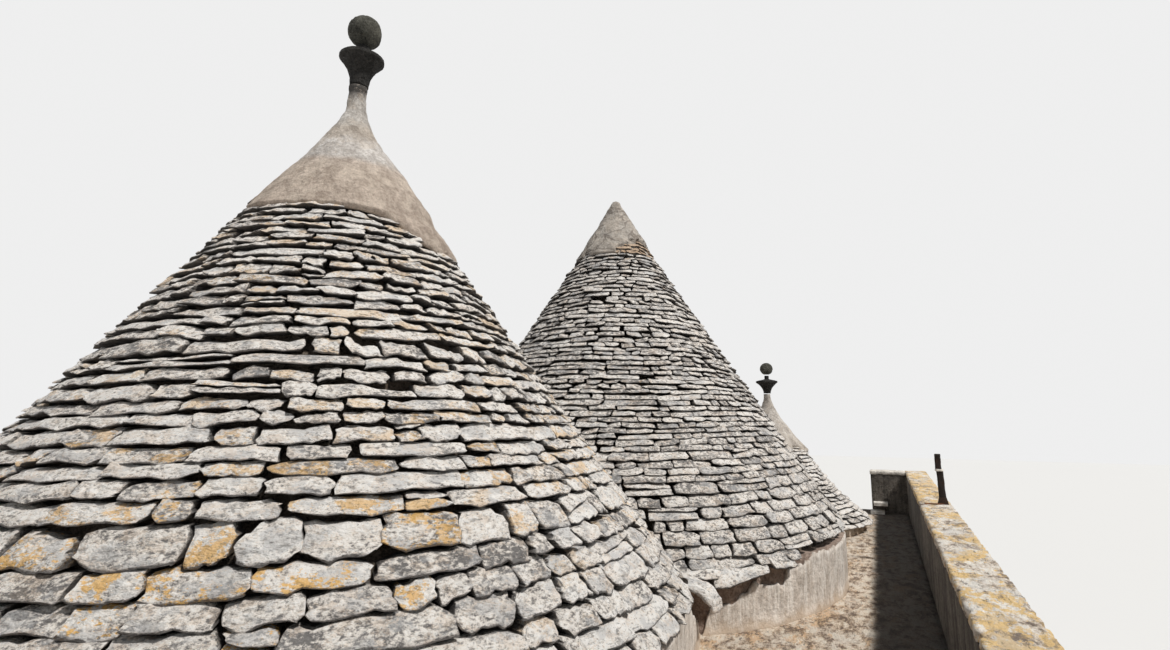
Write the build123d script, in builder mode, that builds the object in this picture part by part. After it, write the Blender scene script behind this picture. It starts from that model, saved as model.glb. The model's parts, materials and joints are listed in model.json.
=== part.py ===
from build123d import *
from math import atan2, cos, degrees, hypot, radians, sin, sqrt
import os

# A trullo house: three dry-stone cones on plastered drums, rising from a flat terrace.
# Millimetres, +Z up. The origin is at ground level under the centre of the house.
# +Y runs along the row of cones, +X points to the parapet that edges the walkway.

# House block
house_width = 6960
house_length = 12700
wall_height = 2100
wall_thickness = 1300
terrace_thickness = 500

# Doorway in the front wall
door_width = 950
door_spring_height = 1450
door_stone_width = 350

# Carrying arches that cross the hall between the cones
arch_opening_width = 1800
arch_spring_height = 1100
near_arch_thickness = 500
far_arch_thickness = 700

# Parapet and coping
coping_width = 303
coping_thickness = 60
coping_overhang = 10
parapet_height = 591
east_coping_joint_y = 2250
rear_return_width = 810
rear_gap_width = 900

# Near trullo; its spacing is to the axis of the next one, along the house
near_x = -315
near_spacing = 3467
near_room_radius = 1450
near_drum_radius = 2205
near_drum_height = 545
near_seat_radius = 600
near_seat_height = 2800
near_roof_dish = 47
near_lean = 3.5
near_lean_bearing = 24.9

# Middle trullo; its spacing is to the axis of the next one, along the house
middle_x = 245
middle_spacing = 3147
middle_room_radius = 1450
middle_drum_radius = 2265
middle_drum_height = 470
middle_seat_radius = 430
middle_seat_height = 3300
middle_roof_dish = 12

# Far trullo; its distance is from its axis to the rear edge of the house
far_x = 1367
far_rear_distance = 2050
far_room_radius = 740
far_drum_radius = 1225
far_drum_height = 200
far_seat_radius = 519
far_seat_height = 1060
far_roof_dish = 10

# Stone roof of every trullo
eave_overhang = 45
slab_depth = 170
dome_crown_thickness = 350
dome_crown_radius = 150
dome_bulge = 110
wall_joint = 5

# Mortar caps, heights above the seat on the stones
near_flare_height = 530
near_flare_radius = 225
near_neck_height = 1000
near_neck_radius = 62
far_flare_height = 402
far_flare_radius = 217
far_neck_height = 795
far_neck_radius = 50
middle_tip_height = 692
middle_tip_radius = 70

# Cup and ball of the pinnacles
near_cup_radius = 149
near_cup_height = 220
near_ball_radius = 115
near_ball_rise = 190
far_cup_radius = 156
far_cup_height = 190
far_ball_radius = 92
far_ball_rise = 179
cup_rim_thickness = 22
cup_crown_rise = 30
near_stem_radius = 52
far_stem_radius = 32

# Spout stone in the valley between the near and the middle trullo
spout_width = 260
spout_reach = 530
spout_thickness = 75
spout_drop = 200
spout_crown_reach = 330
spout_curve_radius = 205

# Stub of a post on the coping
post_y = 2310
post_width = 66
post_height = 440
post_lean = 4
post_foot_height = 70
post_foot_width = 100
post_edge_gap = 30

# Two step stones at the foot of the rear return
step_width = 200
step_depth = 220
step_thickness = 45
upper_step_rise = 175
upper_step_inset = 25
lower_step_reach = 25

# Worked out from the sizes above
terrace_level = wall_height + terrace_thickness
half_width = house_width / 2
half_length = house_length / 2
wall_face_x = half_width - coping_overhang
wall_face_y = half_length - coping_overhang
hall_x = wall_face_x - wall_thickness
hall_y = wall_face_y - wall_thickness
parapet_thickness = coping_width - 2 * coping_overhang
parapet_inner_x = wall_face_x - parapet_thickness
parapet_inner_y = wall_face_y - parapet_thickness
coping_inner_x = half_width - coping_width
coping_inner_y = half_length - coping_width
coping_level = terrace_level + parapet_height
door_half = door_width / 2
door_stone_x = door_half + door_stone_width
far_y = half_length - far_rear_distance
middle_y = far_y - middle_spacing
near_y = middle_y - near_spacing
near_arch_y = (near_y + near_room_radius + middle_y - middle_room_radius) / 2
far_arch_y = (middle_y + middle_room_radius + far_y - far_room_radius) / 2
cap_skirt = 2 * near_seat_radius * sin(radians(near_lean))

nodes = {}


class Trullo:
    """One cone: its axis, and the radii and heights of its stages above the terrace."""

    def __init__(self, name, x, y, room, drum, drum_height, seat, seat_height, dish):
        self.name = name
        self.x = x
        self.y = y
        self.room = room
        self.drum = drum
        self.drum_height = drum_height
        self.eave = drum + eave_overhang
        self.seat = seat
        self.seat_height = seat_height
        self.dish = dish

    def profile_plane(self):
        """Upright plane through the axis: local X is the radius, local Y the height."""
        return Plane(origin=(self.x, self.y, terrace_level), x_dir=(1, 0, 0), z_dir=(0, -1, 0))

    def axis(self):
        return Axis((self.x, self.y, terrace_level), (0, 0, 1))

    def roof_radius_at(self, height):
        """Radius of the straight line from the eave to the seat of the cap."""
        fall = (self.seat_height - height) / (self.seat_height - self.drum_height)
        return self.seat + (self.eave - self.seat) * fall


near = Trullo(
    "near", near_x, near_y, near_room_radius, near_drum_radius, near_drum_height,
    near_seat_radius, near_seat_height, near_roof_dish,
)
middle = Trullo(
    "middle", middle_x, middle_y, middle_room_radius, middle_drum_radius, middle_drum_height,
    middle_seat_radius, middle_seat_height, middle_roof_dish,
)
far = Trullo(
    "far", far_x, far_y, far_room_radius, far_drum_radius, far_drum_height,
    far_seat_radius, far_seat_height, far_roof_dish,
)


def keep(builder, name):
    """Label a finished piece and note it for export."""
    builder.part.label = name
    nodes[name] = builder.part


def block(name, x_from, x_to, y_from, y_to, z_from, z_to):
    """A squared block of masonry between two corners."""
    with BuildPart() as piece:
        with BuildSketch(Plane.XY.offset(z_from)):
            with Locations(((x_from + x_to) / 2, (y_from + y_to) / 2)):
                Rectangle(x_to - x_from, y_to - y_from)
        extrude(amount=z_to - z_from)
    keep(piece, name)


def arch_wall(name, half_span, y_from, y_to, z_from, z_to, opening_radius):
    """Masonry over an opening, with a half-round arch that springs at its foot."""
    with BuildPart() as piece:
        with BuildSketch(Plane.XZ.offset(-y_to)):
            with Locations((0, (z_from + z_to) / 2)):
                Rectangle(2 * half_span, z_to - z_from)
            with Locations((0, z_from)):
                Circle(opening_radius, mode=Mode.SUBTRACT)
        extrude(amount=y_to - y_from)
    keep(piece, name)


# Front wall, split beside and over the doorway
block("front_wall_west", -wall_face_x, -door_stone_x, -wall_face_y, -hall_y, 0, wall_height)
block("front_wall_east", door_stone_x, wall_face_x, -wall_face_y, -hall_y, 0, wall_height)
block("door_jamb_west", -door_stone_x, -door_half, -wall_face_y, -hall_y, 0, door_spring_height)
block("door_jamb_east", door_half, door_stone_x, -wall_face_y, -hall_y, 0, door_spring_height)
arch_wall(
    "door_arch", door_stone_x, -wall_face_y, -hall_y, door_spring_height, wall_height, door_half
)

# Side and rear walls
block("west_wall", -wall_face_x, -hall_x, -hall_y, hall_y, 0, wall_height)
block("east_wall", hall_x, wall_face_x, -hall_y, hall_y, 0, wall_height)
block("rear_wall", -wall_face_x, wall_face_x, hall_y, wall_face_y, 0, wall_height)


def carrying_arch(name, centre_y, thickness):
    """Two piers and an arch that carry the terrace and the drums between two cones."""
    y_from = centre_y - thickness / 2
    y_to = centre_y + thickness / 2
    pier_width = hall_x - arch_opening_width / 2
    pier_x = hall_x - pier_width / 2
    with BuildPart() as piers:
        with BuildSketch():
            with Locations((-pier_x, centre_y), (pier_x, centre_y)):
                Rectangle(pier_width, thickness)
        extrude(amount=arch_spring_height)
    keep(piers, name + "_piers")
    arch_wall(
        name + "_head", hall_x, y_from, y_to, arch_spring_height, wall_height,
        arch_opening_width / 2,
    )


carrying_arch("near_arch", near_arch_y, near_arch_thickness)
carrying_arch("far_arch", far_arch_y, far_arch_thickness)


def terrace_bay(trullo, y_from, y_to):
    """One bay of the flat roof, open under its cone."""
    with BuildPart() as bay:
        with BuildSketch(Plane.XY.offset(wall_height)):
            with Locations((0, (y_from + y_to) / 2)):
                Rectangle(2 * wall_face_x, y_to - y_from)
            with Locations((trullo.x, trullo.y)):
                Circle(trullo.room, mode=Mode.SUBTRACT)
        extrude(amount=terrace_thickness)
    keep(bay, "terrace_" + trullo.name)


terrace_bay(near, -wall_face_y, near_arch_y)
terrace_bay(middle, near_arch_y, far_arch_y)
terrace_bay(far, far_arch_y, wall_face_y)


def saddle_plane(first, second):
    """Upright plane in the valley where the roof lines of two cones cross."""
    distance = hypot(second.x - first.x, second.y - first.y)
    along = ((second.x - first.x) / distance, (second.y - first.y) / distance)
    low = first.drum_height
    high = first.seat_height
    low_sum = first.roof_radius_at(low) + second.roof_radius_at(low)
    high_sum = first.roof_radius_at(high) + second.roof_radius_at(high)
    saddle_height = low + (high - low) * (low_sum - distance) / (low_sum - high_sum)
    reach = first.roof_radius_at(saddle_height)
    origin = (first.x + along[0] * reach, first.y + along[1] * reach, terrace_level)
    return Plane(origin=origin, x_dir=(-along[1], along[0], 0), z_dir=(along[0], along[1], 0))


valley = saddle_plane(near, middle)


def trim(trullo):
    """Cut the open part in hand where its trullo meets a neighbour."""
    if trullo is near:
        split(bisect_by=valley, keep=Keep.BOTTOM)
    if trullo is middle:
        split(bisect_by=valley, keep=Keep.TOP)
    if trullo is far:
        with Locations((middle.x, middle.y, terrace_level)):
            Cylinder(
                middle.eave + wall_joint, far.seat_height,
                align=(Align.CENTER, Align.CENTER, Align.MIN), mode=Mode.SUBTRACT,
            )


def drum(trullo):
    """Plastered ring wall that carries the roof."""
    with BuildPart() as ring:
        with BuildSketch(Plane.XY.offset(terrace_level)):
            with Locations((trullo.x, trullo.y)):
                Circle(trullo.drum)
                Circle(trullo.room, mode=Mode.SUBTRACT)
        extrude(amount=trullo.drum_height)
        trim(trullo)
    keep(ring, trullo.name + "_drum")


def dome(trullo):
    """Corbelled inner cone, closed at the crown by the stones under the cap."""
    foot = trullo.eave - slab_depth
    top = trullo.seat - slab_depth
    crown_height = trullo.seat_height - dome_crown_thickness
    with BuildPart() as shell:
        with BuildSketch(trullo.profile_plane()):
            with BuildLine():
                outer_foot = (foot, trullo.drum_height)
                outer_top = (top, trullo.seat_height)
                inner_top = (dome_crown_radius, crown_height)
                inner_foot = (trullo.room, trullo.drum_height)
                SagittaArc(outer_foot, outer_top, -trullo.dish)
                Polyline(outer_top, (0, trullo.seat_height), (0, crown_height), inner_top)
                SagittaArc(inner_top, inner_foot, dome_bulge)
                Line(inner_foot, outer_foot)
            make_face()
        revolve(axis=trullo.axis())
        trim(trullo)
    keep(shell, trullo.name + "_dome")


def roof_slabs(trullo):
    """Outer roof of thin stone slabs, from the eave up to the seat of the cap."""
    with BuildPart() as roof:
        with BuildSketch(trullo.profile_plane()):
            with BuildLine():
                eave = (trullo.eave, trullo.drum_height)
                seat = (trullo.seat, trullo.seat_height)
                inner_seat = (trullo.seat - slab_depth, trullo.seat_height)
                inner_eave = (trullo.eave - slab_depth, trullo.drum_height)
                SagittaArc(eave, seat, -trullo.dish)
                Line(seat, inner_seat)
                SagittaArc(inner_seat, inner_eave, trullo.dish)
                Line(inner_eave, eave)
            make_face()
        revolve(axis=trullo.axis())
        trim(trullo)
    keep(roof, trullo.name + "_roof_slabs")


for trullo in (near, middle, far):
    drum(trullo)
    dome(trullo)
    roof_slabs(trullo)


def leaning_plane(trullo, lean, bearing):
    """Plane on the seat of the cap whose Z is the axis of the pinnacle."""
    sideways = (cos(radians(bearing)), sin(radians(bearing)))
    tilt = radians(lean)
    up = (sin(tilt) * sideways[0], sin(tilt) * sideways[1], cos(tilt))
    across = (cos(tilt) * sideways[0], cos(tilt) * sideways[1], -sin(tilt))
    origin = (trullo.x, trullo.y, terrace_level + trullo.seat_height)
    return Plane(origin=origin, x_dir=across, z_dir=up)


def turning_plane(stand):
    """Plane of a turned profile: local X is the radius, local Y runs up the stand's axis."""
    return Plane(origin=stand.origin, x_dir=stand.x_dir, z_dir=-stand.y_dir)


def spire_cap(trullo, stand, flare_radius, flare_height, neck_radius, neck_height):
    """Mortar cap: a straight cone that sweeps up into a narrow neck, cut level at the seat."""
    slope = (trullo.seat - flare_radius) / flare_height
    bend_height = flare_height + (flare_radius - neck_radius) / slope
    with BuildPart() as cap:
        with BuildSketch(turning_plane(stand)):
            with BuildLine():
                foot = (trullo.seat + slope * cap_skirt, -cap_skirt)
                flare = (flare_radius, flare_height)
                neck = (neck_radius, neck_height)
                Line(foot, flare)
                Bezier(flare, (neck_radius, bend_height), neck)
                Polyline(neck, (0, neck_height), (0, -cap_skirt), foot)
            make_face()
        revolve(axis=Axis(stand.origin, stand.z_dir))
        split(bisect_by=Plane.XY.offset(terrace_level + trullo.seat_height), keep=Keep.TOP)
    keep(cap, trullo.name + "_cap")


def pointed_cap(trullo, tip_height, tip_radius):
    """Mortar cap without a pinnacle: a plain cone with a rounded tip."""
    rise = atan2(tip_height, trullo.seat)
    shoulder = (tip_radius * sin(rise), tip_height - tip_radius + tip_radius * cos(rise))
    crown = (tip_radius * sin(rise / 2), tip_height - tip_radius + tip_radius * cos(rise / 2))
    with BuildPart() as cap:
        with BuildSketch(trullo.profile_plane()):
            with BuildLine():
                base = trullo.seat_height
                foot = (trullo.seat, base)
                low = (shoulder[0], base + shoulder[1])
                mid = (crown[0], base + crown[1])
                tip = (0, base + tip_height)
                Line(foot, low)
                ThreePointArc(low, mid, tip)
                Polyline(tip, (0, base), foot)
            make_face()
        revolve(axis=trullo.axis())
    keep(cap, trullo.name + "_cap")


def pinnacle(trullo, stand, neck_height, neck_radius, cup_radius, cup_height, stem_radius,
             ball_radius, ball_rise):
    """Stone cup on the neck of the cap, and the ball that stands on the cup."""
    rim = neck_height + cup_height
    seat = rim + ball_rise - sqrt(ball_radius**2 - stem_radius**2)
    turned_axis = Axis(stand.origin, stand.z_dir)
    with BuildPart() as cup:
        with BuildSketch(turning_plane(stand)):
            with BuildLine():
                lip_low = (cup_radius, rim - cup_rim_thickness)
                lip_high = (cup_radius, rim)
                crown = (stem_radius, rim + cup_crown_rise)
                foot = (neck_radius, neck_height)
                Bezier(foot, (neck_radius, neck_height + cup_height / 2), lip_low)
                Polyline(lip_low, lip_high, crown, (stem_radius, seat), (0, seat),
                         (0, neck_height), foot)
            make_face()
        revolve(axis=turned_axis)
    keep(cup, trullo.name + "_cup")
    with BuildPart() as ball:
        with BuildSketch(turning_plane(stand)):
            with BuildLine():
                ball_foot = (stem_radius, seat)
                ball_top = (0, rim + ball_rise + ball_radius)
                ThreePointArc(ball_foot, (ball_radius, rim + ball_rise), ball_top)
                Polyline(ball_top, (0, seat), ball_foot)
            make_face()
        revolve(axis=turned_axis)
    keep(ball, trullo.name + "_ball")


near_stand = leaning_plane(near, near_lean, near_lean_bearing)
far_stand = leaning_plane(far, 0, 0)
spire_cap(near, near_stand, near_flare_radius, near_flare_height, near_neck_radius,
          near_neck_height)
pinnacle(near, near_stand, near_neck_height, near_neck_radius, near_cup_radius,
         near_cup_height, near_stem_radius, near_ball_radius, near_ball_rise)
pointed_cap(middle, middle_tip_height, middle_tip_radius)
spire_cap(far, far_stand, far_flare_radius, far_flare_height, far_neck_radius, far_neck_height)
pinnacle(far, far_stand, far_neck_height, far_neck_radius, far_cup_radius,
         far_cup_height, far_stem_radius, far_ball_radius, far_ball_rise)

# Spout stone: bedded in the valley, it arches out over the terrace like a gutter lip
near_reach = hypot(valley.origin.X - near.x, valley.origin.Y - near.y)
valley_side = sqrt(near.drum**2 - near_reach**2)
spout_plane = Plane(
    origin=(
        valley.origin.X - valley.x_dir.X * valley_side,
        valley.origin.Y - valley.x_dir.Y * valley_side,
        terrace_level + min(near.drum_height, middle.drum_height),
    ),
    x_dir=-valley.x_dir,
    z_dir=valley.z_dir,
)
with BuildPart() as spout:
    with BuildSketch(spout_plane.offset(-spout_width / 2)):
        with BuildLine():
            back = -spout_reach / 2
            crown_top = (spout_crown_reach, 0)
            lip_top = (spout_reach, spout_drop)
            lip_low = (spout_reach - spout_thickness, spout_drop)
            crown_low = (spout_crown_reach, spout_thickness)
            Line((back, 0), crown_top)
            RadiusArc(crown_top, lip_top, -spout_curve_radius)
            Line(lip_top, lip_low)
            RadiusArc(lip_low, crown_low, spout_curve_radius)
            Polyline(crown_low, (back, spout_thickness), (back, 0))
        make_face()
    extrude(amount=spout_width)
    for trullo in (near, middle):
        with BuildSketch(Plane.XY.offset(terrace_level)):
            with Locations((trullo.x, trullo.y)):
                Circle(trullo.drum)
        extrude(amount=trullo.drum_height, mode=Mode.SUBTRACT)
keep(spout, "valley_spout")

# Parapet along all four edges, with a gap and a short return at the far end
block("west_parapet", -wall_face_x, -parapet_inner_x, -wall_face_y, wall_face_y,
      terrace_level, coping_level)
block("east_parapet", parapet_inner_x, wall_face_x, -wall_face_y, wall_face_y,
      terrace_level, coping_level)
block("front_parapet", -parapet_inner_x, parapet_inner_x, -wall_face_y, -parapet_inner_y,
      terrace_level, coping_level)
return_x = half_width - rear_return_width
gap_x = return_x - rear_gap_width
block("rear_parapet", -parapet_inner_x, gap_x, parapet_inner_y, wall_face_y,
      terrace_level, coping_level)
block("rear_return", return_x, parapet_inner_x, parapet_inner_y, wall_face_y,
      terrace_level, coping_level)

# Coping stones
coping_top = coping_level + coping_thickness
block("west_coping", -half_width, -coping_inner_x, -half_length, half_length,
      coping_level, coping_top)
block("east_coping_near", coping_inner_x, half_width, -half_length, east_coping_joint_y,
      coping_level, coping_top)
block("east_coping_far", coping_inner_x, half_width, east_coping_joint_y, half_length,
      coping_level, coping_top)
block("front_coping", -coping_inner_x, coping_inner_x, -half_length, -coping_inner_y,
      coping_level, coping_top)
block("rear_coping", -coping_inner_x, gap_x + coping_overhang, coping_inner_y, half_length,
      coping_level, coping_top)
block("rear_return_coping", return_x - coping_overhang, coping_inner_x, coping_inner_y,
      half_length, coping_level, coping_top)

# Stub of a post on a splayed foot, leaning inwards at the outer edge of the coping
post_x = half_width - post_edge_gap - post_foot_width / 2
with BuildPart() as post_foot:
    with BuildSketch(Plane.XZ.offset(-post_y)):
        with BuildLine():
            toe_west = (post_x - post_foot_width / 2, coping_top)
            toe_east = (post_x + post_foot_width / 2, coping_top)
            neck_west = (post_x - post_width / 2, coping_top + post_foot_height)
            neck_east = (post_x + post_width / 2, coping_top + post_foot_height)
            Line(toe_west, toe_east)
            Line(toe_east, neck_east)
            Line(neck_east, neck_west)
            Line(neck_west, toe_west)
        make_face()
    extrude(amount=post_width / 2, both=True)
keep(post_foot, "post_foot")

with BuildPart() as post:
    with BuildSketch(Plane.XY.offset(coping_top + post_foot_height)):
        with Locations((post_x, post_y)):
            Rectangle(post_width, post_width)
    extrude(amount=post_height, dir=(-sin(radians(post_lean)), 0, cos(radians(post_lean))))
keep(post, "post")

# Step stones at the foot of the rear return
upper_step_x = return_x + upper_step_inset + step_width / 2
lower_step_x = return_x - lower_step_reach + step_width / 2
with BuildPart() as rear_steps:
    with BuildSketch(Plane.XY.offset(terrace_level)):
        with Locations((lower_step_x, parapet_inner_y - step_depth / 2)):
            Rectangle(step_width, step_depth)
    extrude(amount=step_thickness)
    with BuildSketch(Plane.XY.offset(terrace_level + upper_step_rise - step_thickness)):
        with Locations((upper_step_x, parapet_inner_y - step_depth / 2)):
            Rectangle(step_width, step_depth)
    extrude(amount=step_thickness)
keep(rear_steps, "rear_steps")

os.makedirs("parts", exist_ok=True)
for name, piece in nodes.items():
    export_step(piece, "parts/" + name + ".step")
print(len(nodes), "pieces, valley at", [round(c) for c in valley.origin],
      "bearing", round(degrees(atan2(valley.z_dir.Y, valley.z_dir.X)), 1))
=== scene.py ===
# %% [markdown]
# # A trullo house
# Three dry-stone cones stand on plastered drums above a flat terrace, on a plain ground storey.
# The photograph is taken from the terrace at eye height, so the stones of the roofs matter most.
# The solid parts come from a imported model, which stays as it is. This lesson dresses them.

# %% Load the frame
import json
import math
import bpy
import numpy as np
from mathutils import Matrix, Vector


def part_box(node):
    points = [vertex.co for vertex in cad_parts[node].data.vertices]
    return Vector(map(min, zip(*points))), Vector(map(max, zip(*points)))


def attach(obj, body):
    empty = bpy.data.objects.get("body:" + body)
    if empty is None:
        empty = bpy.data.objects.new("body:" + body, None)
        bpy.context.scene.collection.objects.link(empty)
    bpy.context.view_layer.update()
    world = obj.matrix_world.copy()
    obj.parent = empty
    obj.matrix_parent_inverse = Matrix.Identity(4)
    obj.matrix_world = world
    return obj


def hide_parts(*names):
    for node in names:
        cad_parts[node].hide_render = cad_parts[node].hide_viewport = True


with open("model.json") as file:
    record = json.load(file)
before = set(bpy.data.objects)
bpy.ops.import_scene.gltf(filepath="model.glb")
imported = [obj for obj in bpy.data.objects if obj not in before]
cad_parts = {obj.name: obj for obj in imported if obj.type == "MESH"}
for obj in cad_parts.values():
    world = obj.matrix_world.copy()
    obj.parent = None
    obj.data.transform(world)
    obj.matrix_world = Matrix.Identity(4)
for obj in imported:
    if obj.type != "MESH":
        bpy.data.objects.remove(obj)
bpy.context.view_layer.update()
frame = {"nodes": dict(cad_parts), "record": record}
nodes = frame["nodes"]
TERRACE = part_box("terrace_near")[1].z
print("nodes", len(nodes), "terrace level", round(TERRACE, 3))

# %% [markdown]
# ## Camera, light and floor
# The camera stands on the terrace beside the parapet, 1.6 m above it, and looks a little up and
# to the left. Its place and lens were worked out from the outlines of the cones, so they are
# plain numbers here. A broad sun from the parapet's side gives the courses their shadows, and
# an even sky fills them. The sky's own colour is pale only for the camera, so that the
# background doesn't light the house.

# %% Camera
EYE = (2.85, -5.30, 4.20)
PITCH_UP = 7.85
YAW_LEFT = 24.9
LENS_MM = 19.29
SENSOR_MM = 36

camera_data = bpy.data.cameras.new("camera")
camera_data.lens = LENS_MM
camera_data.sensor_width = SENSOR_MM
camera_data.sensor_fit = "HORIZONTAL"
camera_data.clip_start = 0.05
camera_data.clip_end = 300
camera = bpy.data.objects.new("camera", camera_data)
camera.location = EYE
camera.rotation_euler = (math.radians(90 + PITCH_UP), 0, math.radians(YAW_LEFT))
bpy.context.scene.collection.objects.link(camera)
bpy.context.scene.camera = camera
bpy.context.scene.view_settings.view_transform = "Standard"
print("camera at", EYE)


# %% Shader helpers
def new_material(name):
    """An empty node material and its tree."""
    material = bpy.data.materials.new(name)
    material.use_nodes = True
    material.node_tree.nodes.clear()
    return material, material.node_tree


def add(tree, kind, **settings):
    """One shader node, with plain settings put on it."""
    node = tree.nodes.new(kind)
    for key, value in settings.items():
        setattr(node, key, value)
    return node


def put(tree, source, target):
    """Feeds a socket: from another socket, or with a plain value."""
    if isinstance(source, bpy.types.NodeSocket):
        tree.links.new(source, target)
    else:
        target.default_value = source


def noise(tree, vector, scale, detail=4, roughness=0.55, distortion=0.0):
    """Noise value between 0 and 1, mostly near the middle."""
    node = add(tree, "ShaderNodeTexNoise")
    put(tree, vector, node.inputs["Vector"])
    node.inputs["Scale"].default_value = scale
    node.inputs["Detail"].default_value = detail
    node.inputs["Roughness"].default_value = roughness
    node.inputs["Distortion"].default_value = distortion
    return node.outputs["Fac"]


def stretched(tree, vector, scale):
    """A vector scaled by its own factor along each axis, to draw a pattern out."""
    node = add(tree, "ShaderNodeMapping")
    put(tree, vector, node.inputs["Vector"])
    node.inputs["Scale"].default_value = scale
    return node.outputs["Vector"]


def step(tree, value, low, high, reach_low=0.0, reach_high=1.0):
    """A smooth step: reach_low below low, reach_high above high."""
    node = add(tree, "ShaderNodeMapRange", interpolation_type="SMOOTHSTEP")
    put(tree, value, node.inputs["Value"])
    node.inputs["From Min"].default_value = low
    node.inputs["From Max"].default_value = high
    node.inputs["To Min"].default_value = reach_low
    node.inputs["To Max"].default_value = reach_high
    return node.outputs["Result"]


def calc(tree, operation, first, second=0.5, third=0.5):
    """A Math node. Inputs that the operation doesn't have are ignored."""
    node = add(tree, "ShaderNodeMath", operation=operation)
    put(tree, first, node.inputs[0])
    put(tree, second, node.inputs[1])
    put(tree, third, node.inputs[2])
    return node.outputs[0]


def times(tree, first, second):
    """The product of two values."""
    return calc(tree, "MULTIPLY", first, second)


def scaled(tree, value, factor, offset):
    """A value times a factor, plus an offset."""
    return calc(tree, "MULTIPLY_ADD", value, factor, offset)


def along_axis(tree, vector, axis):
    """One coordinate of a vector: X, Y or Z."""
    node = add(tree, "ShaderNodeSeparateXYZ")
    put(tree, vector, node.inputs[0])
    return node.outputs[axis]


def blend(tree, amount, first, second, mode="MIX"):
    """Mixes two colours by an amount."""
    node = add(tree, "ShaderNodeMix", data_type="RGBA", blend_type=mode)
    put(tree, amount, node.inputs["Factor"])
    put(tree, first, node.inputs["A"])
    put(tree, second, node.inputs["B"])
    return node.outputs["Result"]


def shades(tree, value, stops):
    """A colour ramp: stops are (position, colour)."""
    node = add(tree, "ShaderNodeValToRGB")
    put(tree, value, node.inputs["Fac"])
    ramp = node.color_ramp
    while len(ramp.elements) < len(stops):
        ramp.elements.new(1.0)
    for element, (position, colour) in zip(ramp.elements, stops):
        element.position = position
        element.color = (*colour, 1)
    return node.outputs["Color"]


def own_place(tree):
    """Object coordinates, which are metres in the frame."""
    return add(tree, "ShaderNodeTexCoord").outputs["Object"]


def own_value(tree, name):
    """A value that the mesh carries at its vertices."""
    return add(tree, "ShaderNodeAttribute", attribute_name=name).outputs["Fac"]


def rgb(red, green, blue):
    """A colour for a socket."""
    return (red, green, blue, 1)


print("shader helpers ready")

# %% Sky, sun and floor
SKY_FILL = 0.34
SKY_SHOWN = 0.86
SUN_STRENGTH = 3.0
SUN_SOFTNESS = 4
SUN_DIRECTION = np.array([0.62, -0.16, 0.84])
FLOOR_TONE = 0.78
FLOOR_SPAN = 120

world = bpy.data.worlds.new("studio")
bpy.context.scene.world = world
world.use_nodes = True
tree = world.node_tree
tree.nodes.clear()
path = add(tree, "ShaderNodeLightPath")
seen = calc(tree, "MAXIMUM", path.outputs["Is Camera Ray"], path.outputs["Is Glossy Ray"])
fill = add(tree, "ShaderNodeBackground")
fill.inputs["Color"].default_value = rgb(0.95, 0.98, 1.0)
fill.inputs["Strength"].default_value = SKY_FILL
shown = add(tree, "ShaderNodeBackground")
shown.inputs["Color"].default_value = rgb(SKY_SHOWN, SKY_SHOWN, SKY_SHOWN)
shown.inputs["Strength"].default_value = 1.0
mixed = add(tree, "ShaderNodeMixShader")
put(tree, seen, mixed.inputs[0])
put(tree, fill.outputs[0], mixed.inputs[1])
put(tree, shown.outputs[0], mixed.inputs[2])
put(tree, mixed.outputs[0], add(tree, "ShaderNodeOutputWorld").inputs["Surface"])

sun_data = bpy.data.lights.new("sun", "SUN")
sun_data.energy = SUN_STRENGTH
sun_data.angle = math.radians(SUN_SOFTNESS)
sun_data.color = (1.0, 0.97, 0.92)
sun = bpy.data.objects.new("sun", sun_data)
elevation = math.asin(SUN_DIRECTION[2] / np.linalg.norm(SUN_DIRECTION))
bearing = math.atan2(SUN_DIRECTION[1], SUN_DIRECTION[0])
sun.rotation_euler = (0, math.pi / 2 - elevation, bearing)
bpy.context.scene.collection.objects.link(sun)

floor_material, tree = new_material("studio_floor")
surface = add(tree, "ShaderNodeBsdfPrincipled")
surface.inputs["Base Color"].default_value = rgb(FLOOR_TONE, FLOOR_TONE, FLOOR_TONE)
surface.inputs["Roughness"].default_value = 0.9
put(tree, surface.outputs[0], add(tree, "ShaderNodeOutputMaterial").inputs["Surface"])
floor_mesh = bpy.data.meshes.new("studio_floor")
half = FLOOR_SPAN / 2
corners = [(-half, -half, 0), (half, -half, 0), (half, half, 0), (-half, half, 0)]
floor_mesh.from_pydata(corners, [], [(0, 1, 2, 3)])
floor_mesh.materials.append(floor_material)
floor = bpy.data.objects.new("studio_floor", floor_mesh)
floor.location.z = -0.002
bpy.context.scene.collection.objects.link(floor)
print("sun elevation", round(math.degrees(elevation), 1))

# %% [markdown]
# ## What weather does to limestone
# Every surface here is limestone or lime, so a few effects are shared: a grain of fine pits,
# patches of dark and ochre lichen, and streaks where rain runs down. Each is a shader node
# group, built once. A group only puts out masks and heights, and each material colours them.


# %% Shared shader groups
def new_group(name, inputs, outputs):
    """A node group with float inputs (name, value), a vector input and float outputs."""
    group = bpy.data.node_groups.new(name, "ShaderNodeTree")
    group.interface.new_socket("Vector", in_out="INPUT", socket_type="NodeSocketVector")
    for label, value in inputs:
        socket = group.interface.new_socket(label, in_out="INPUT", socket_type="NodeSocketFloat")
        socket.default_value = value
    for label in outputs:
        group.interface.new_socket(label, in_out="OUTPUT", socket_type="NodeSocketFloat")
    source = add(group, "NodeGroupInput")
    target = add(group, "NodeGroupOutput")
    return group, source.outputs, target.inputs


def scaled_vector(tree, vector, factor):
    """The vector times a number that may come from a socket."""
    node = add(tree, "ShaderNodeVectorMath", operation="SCALE")
    put(tree, vector, node.inputs[0])
    put(tree, factor, node.inputs["Scale"])
    return node.outputs["Vector"]


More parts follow.
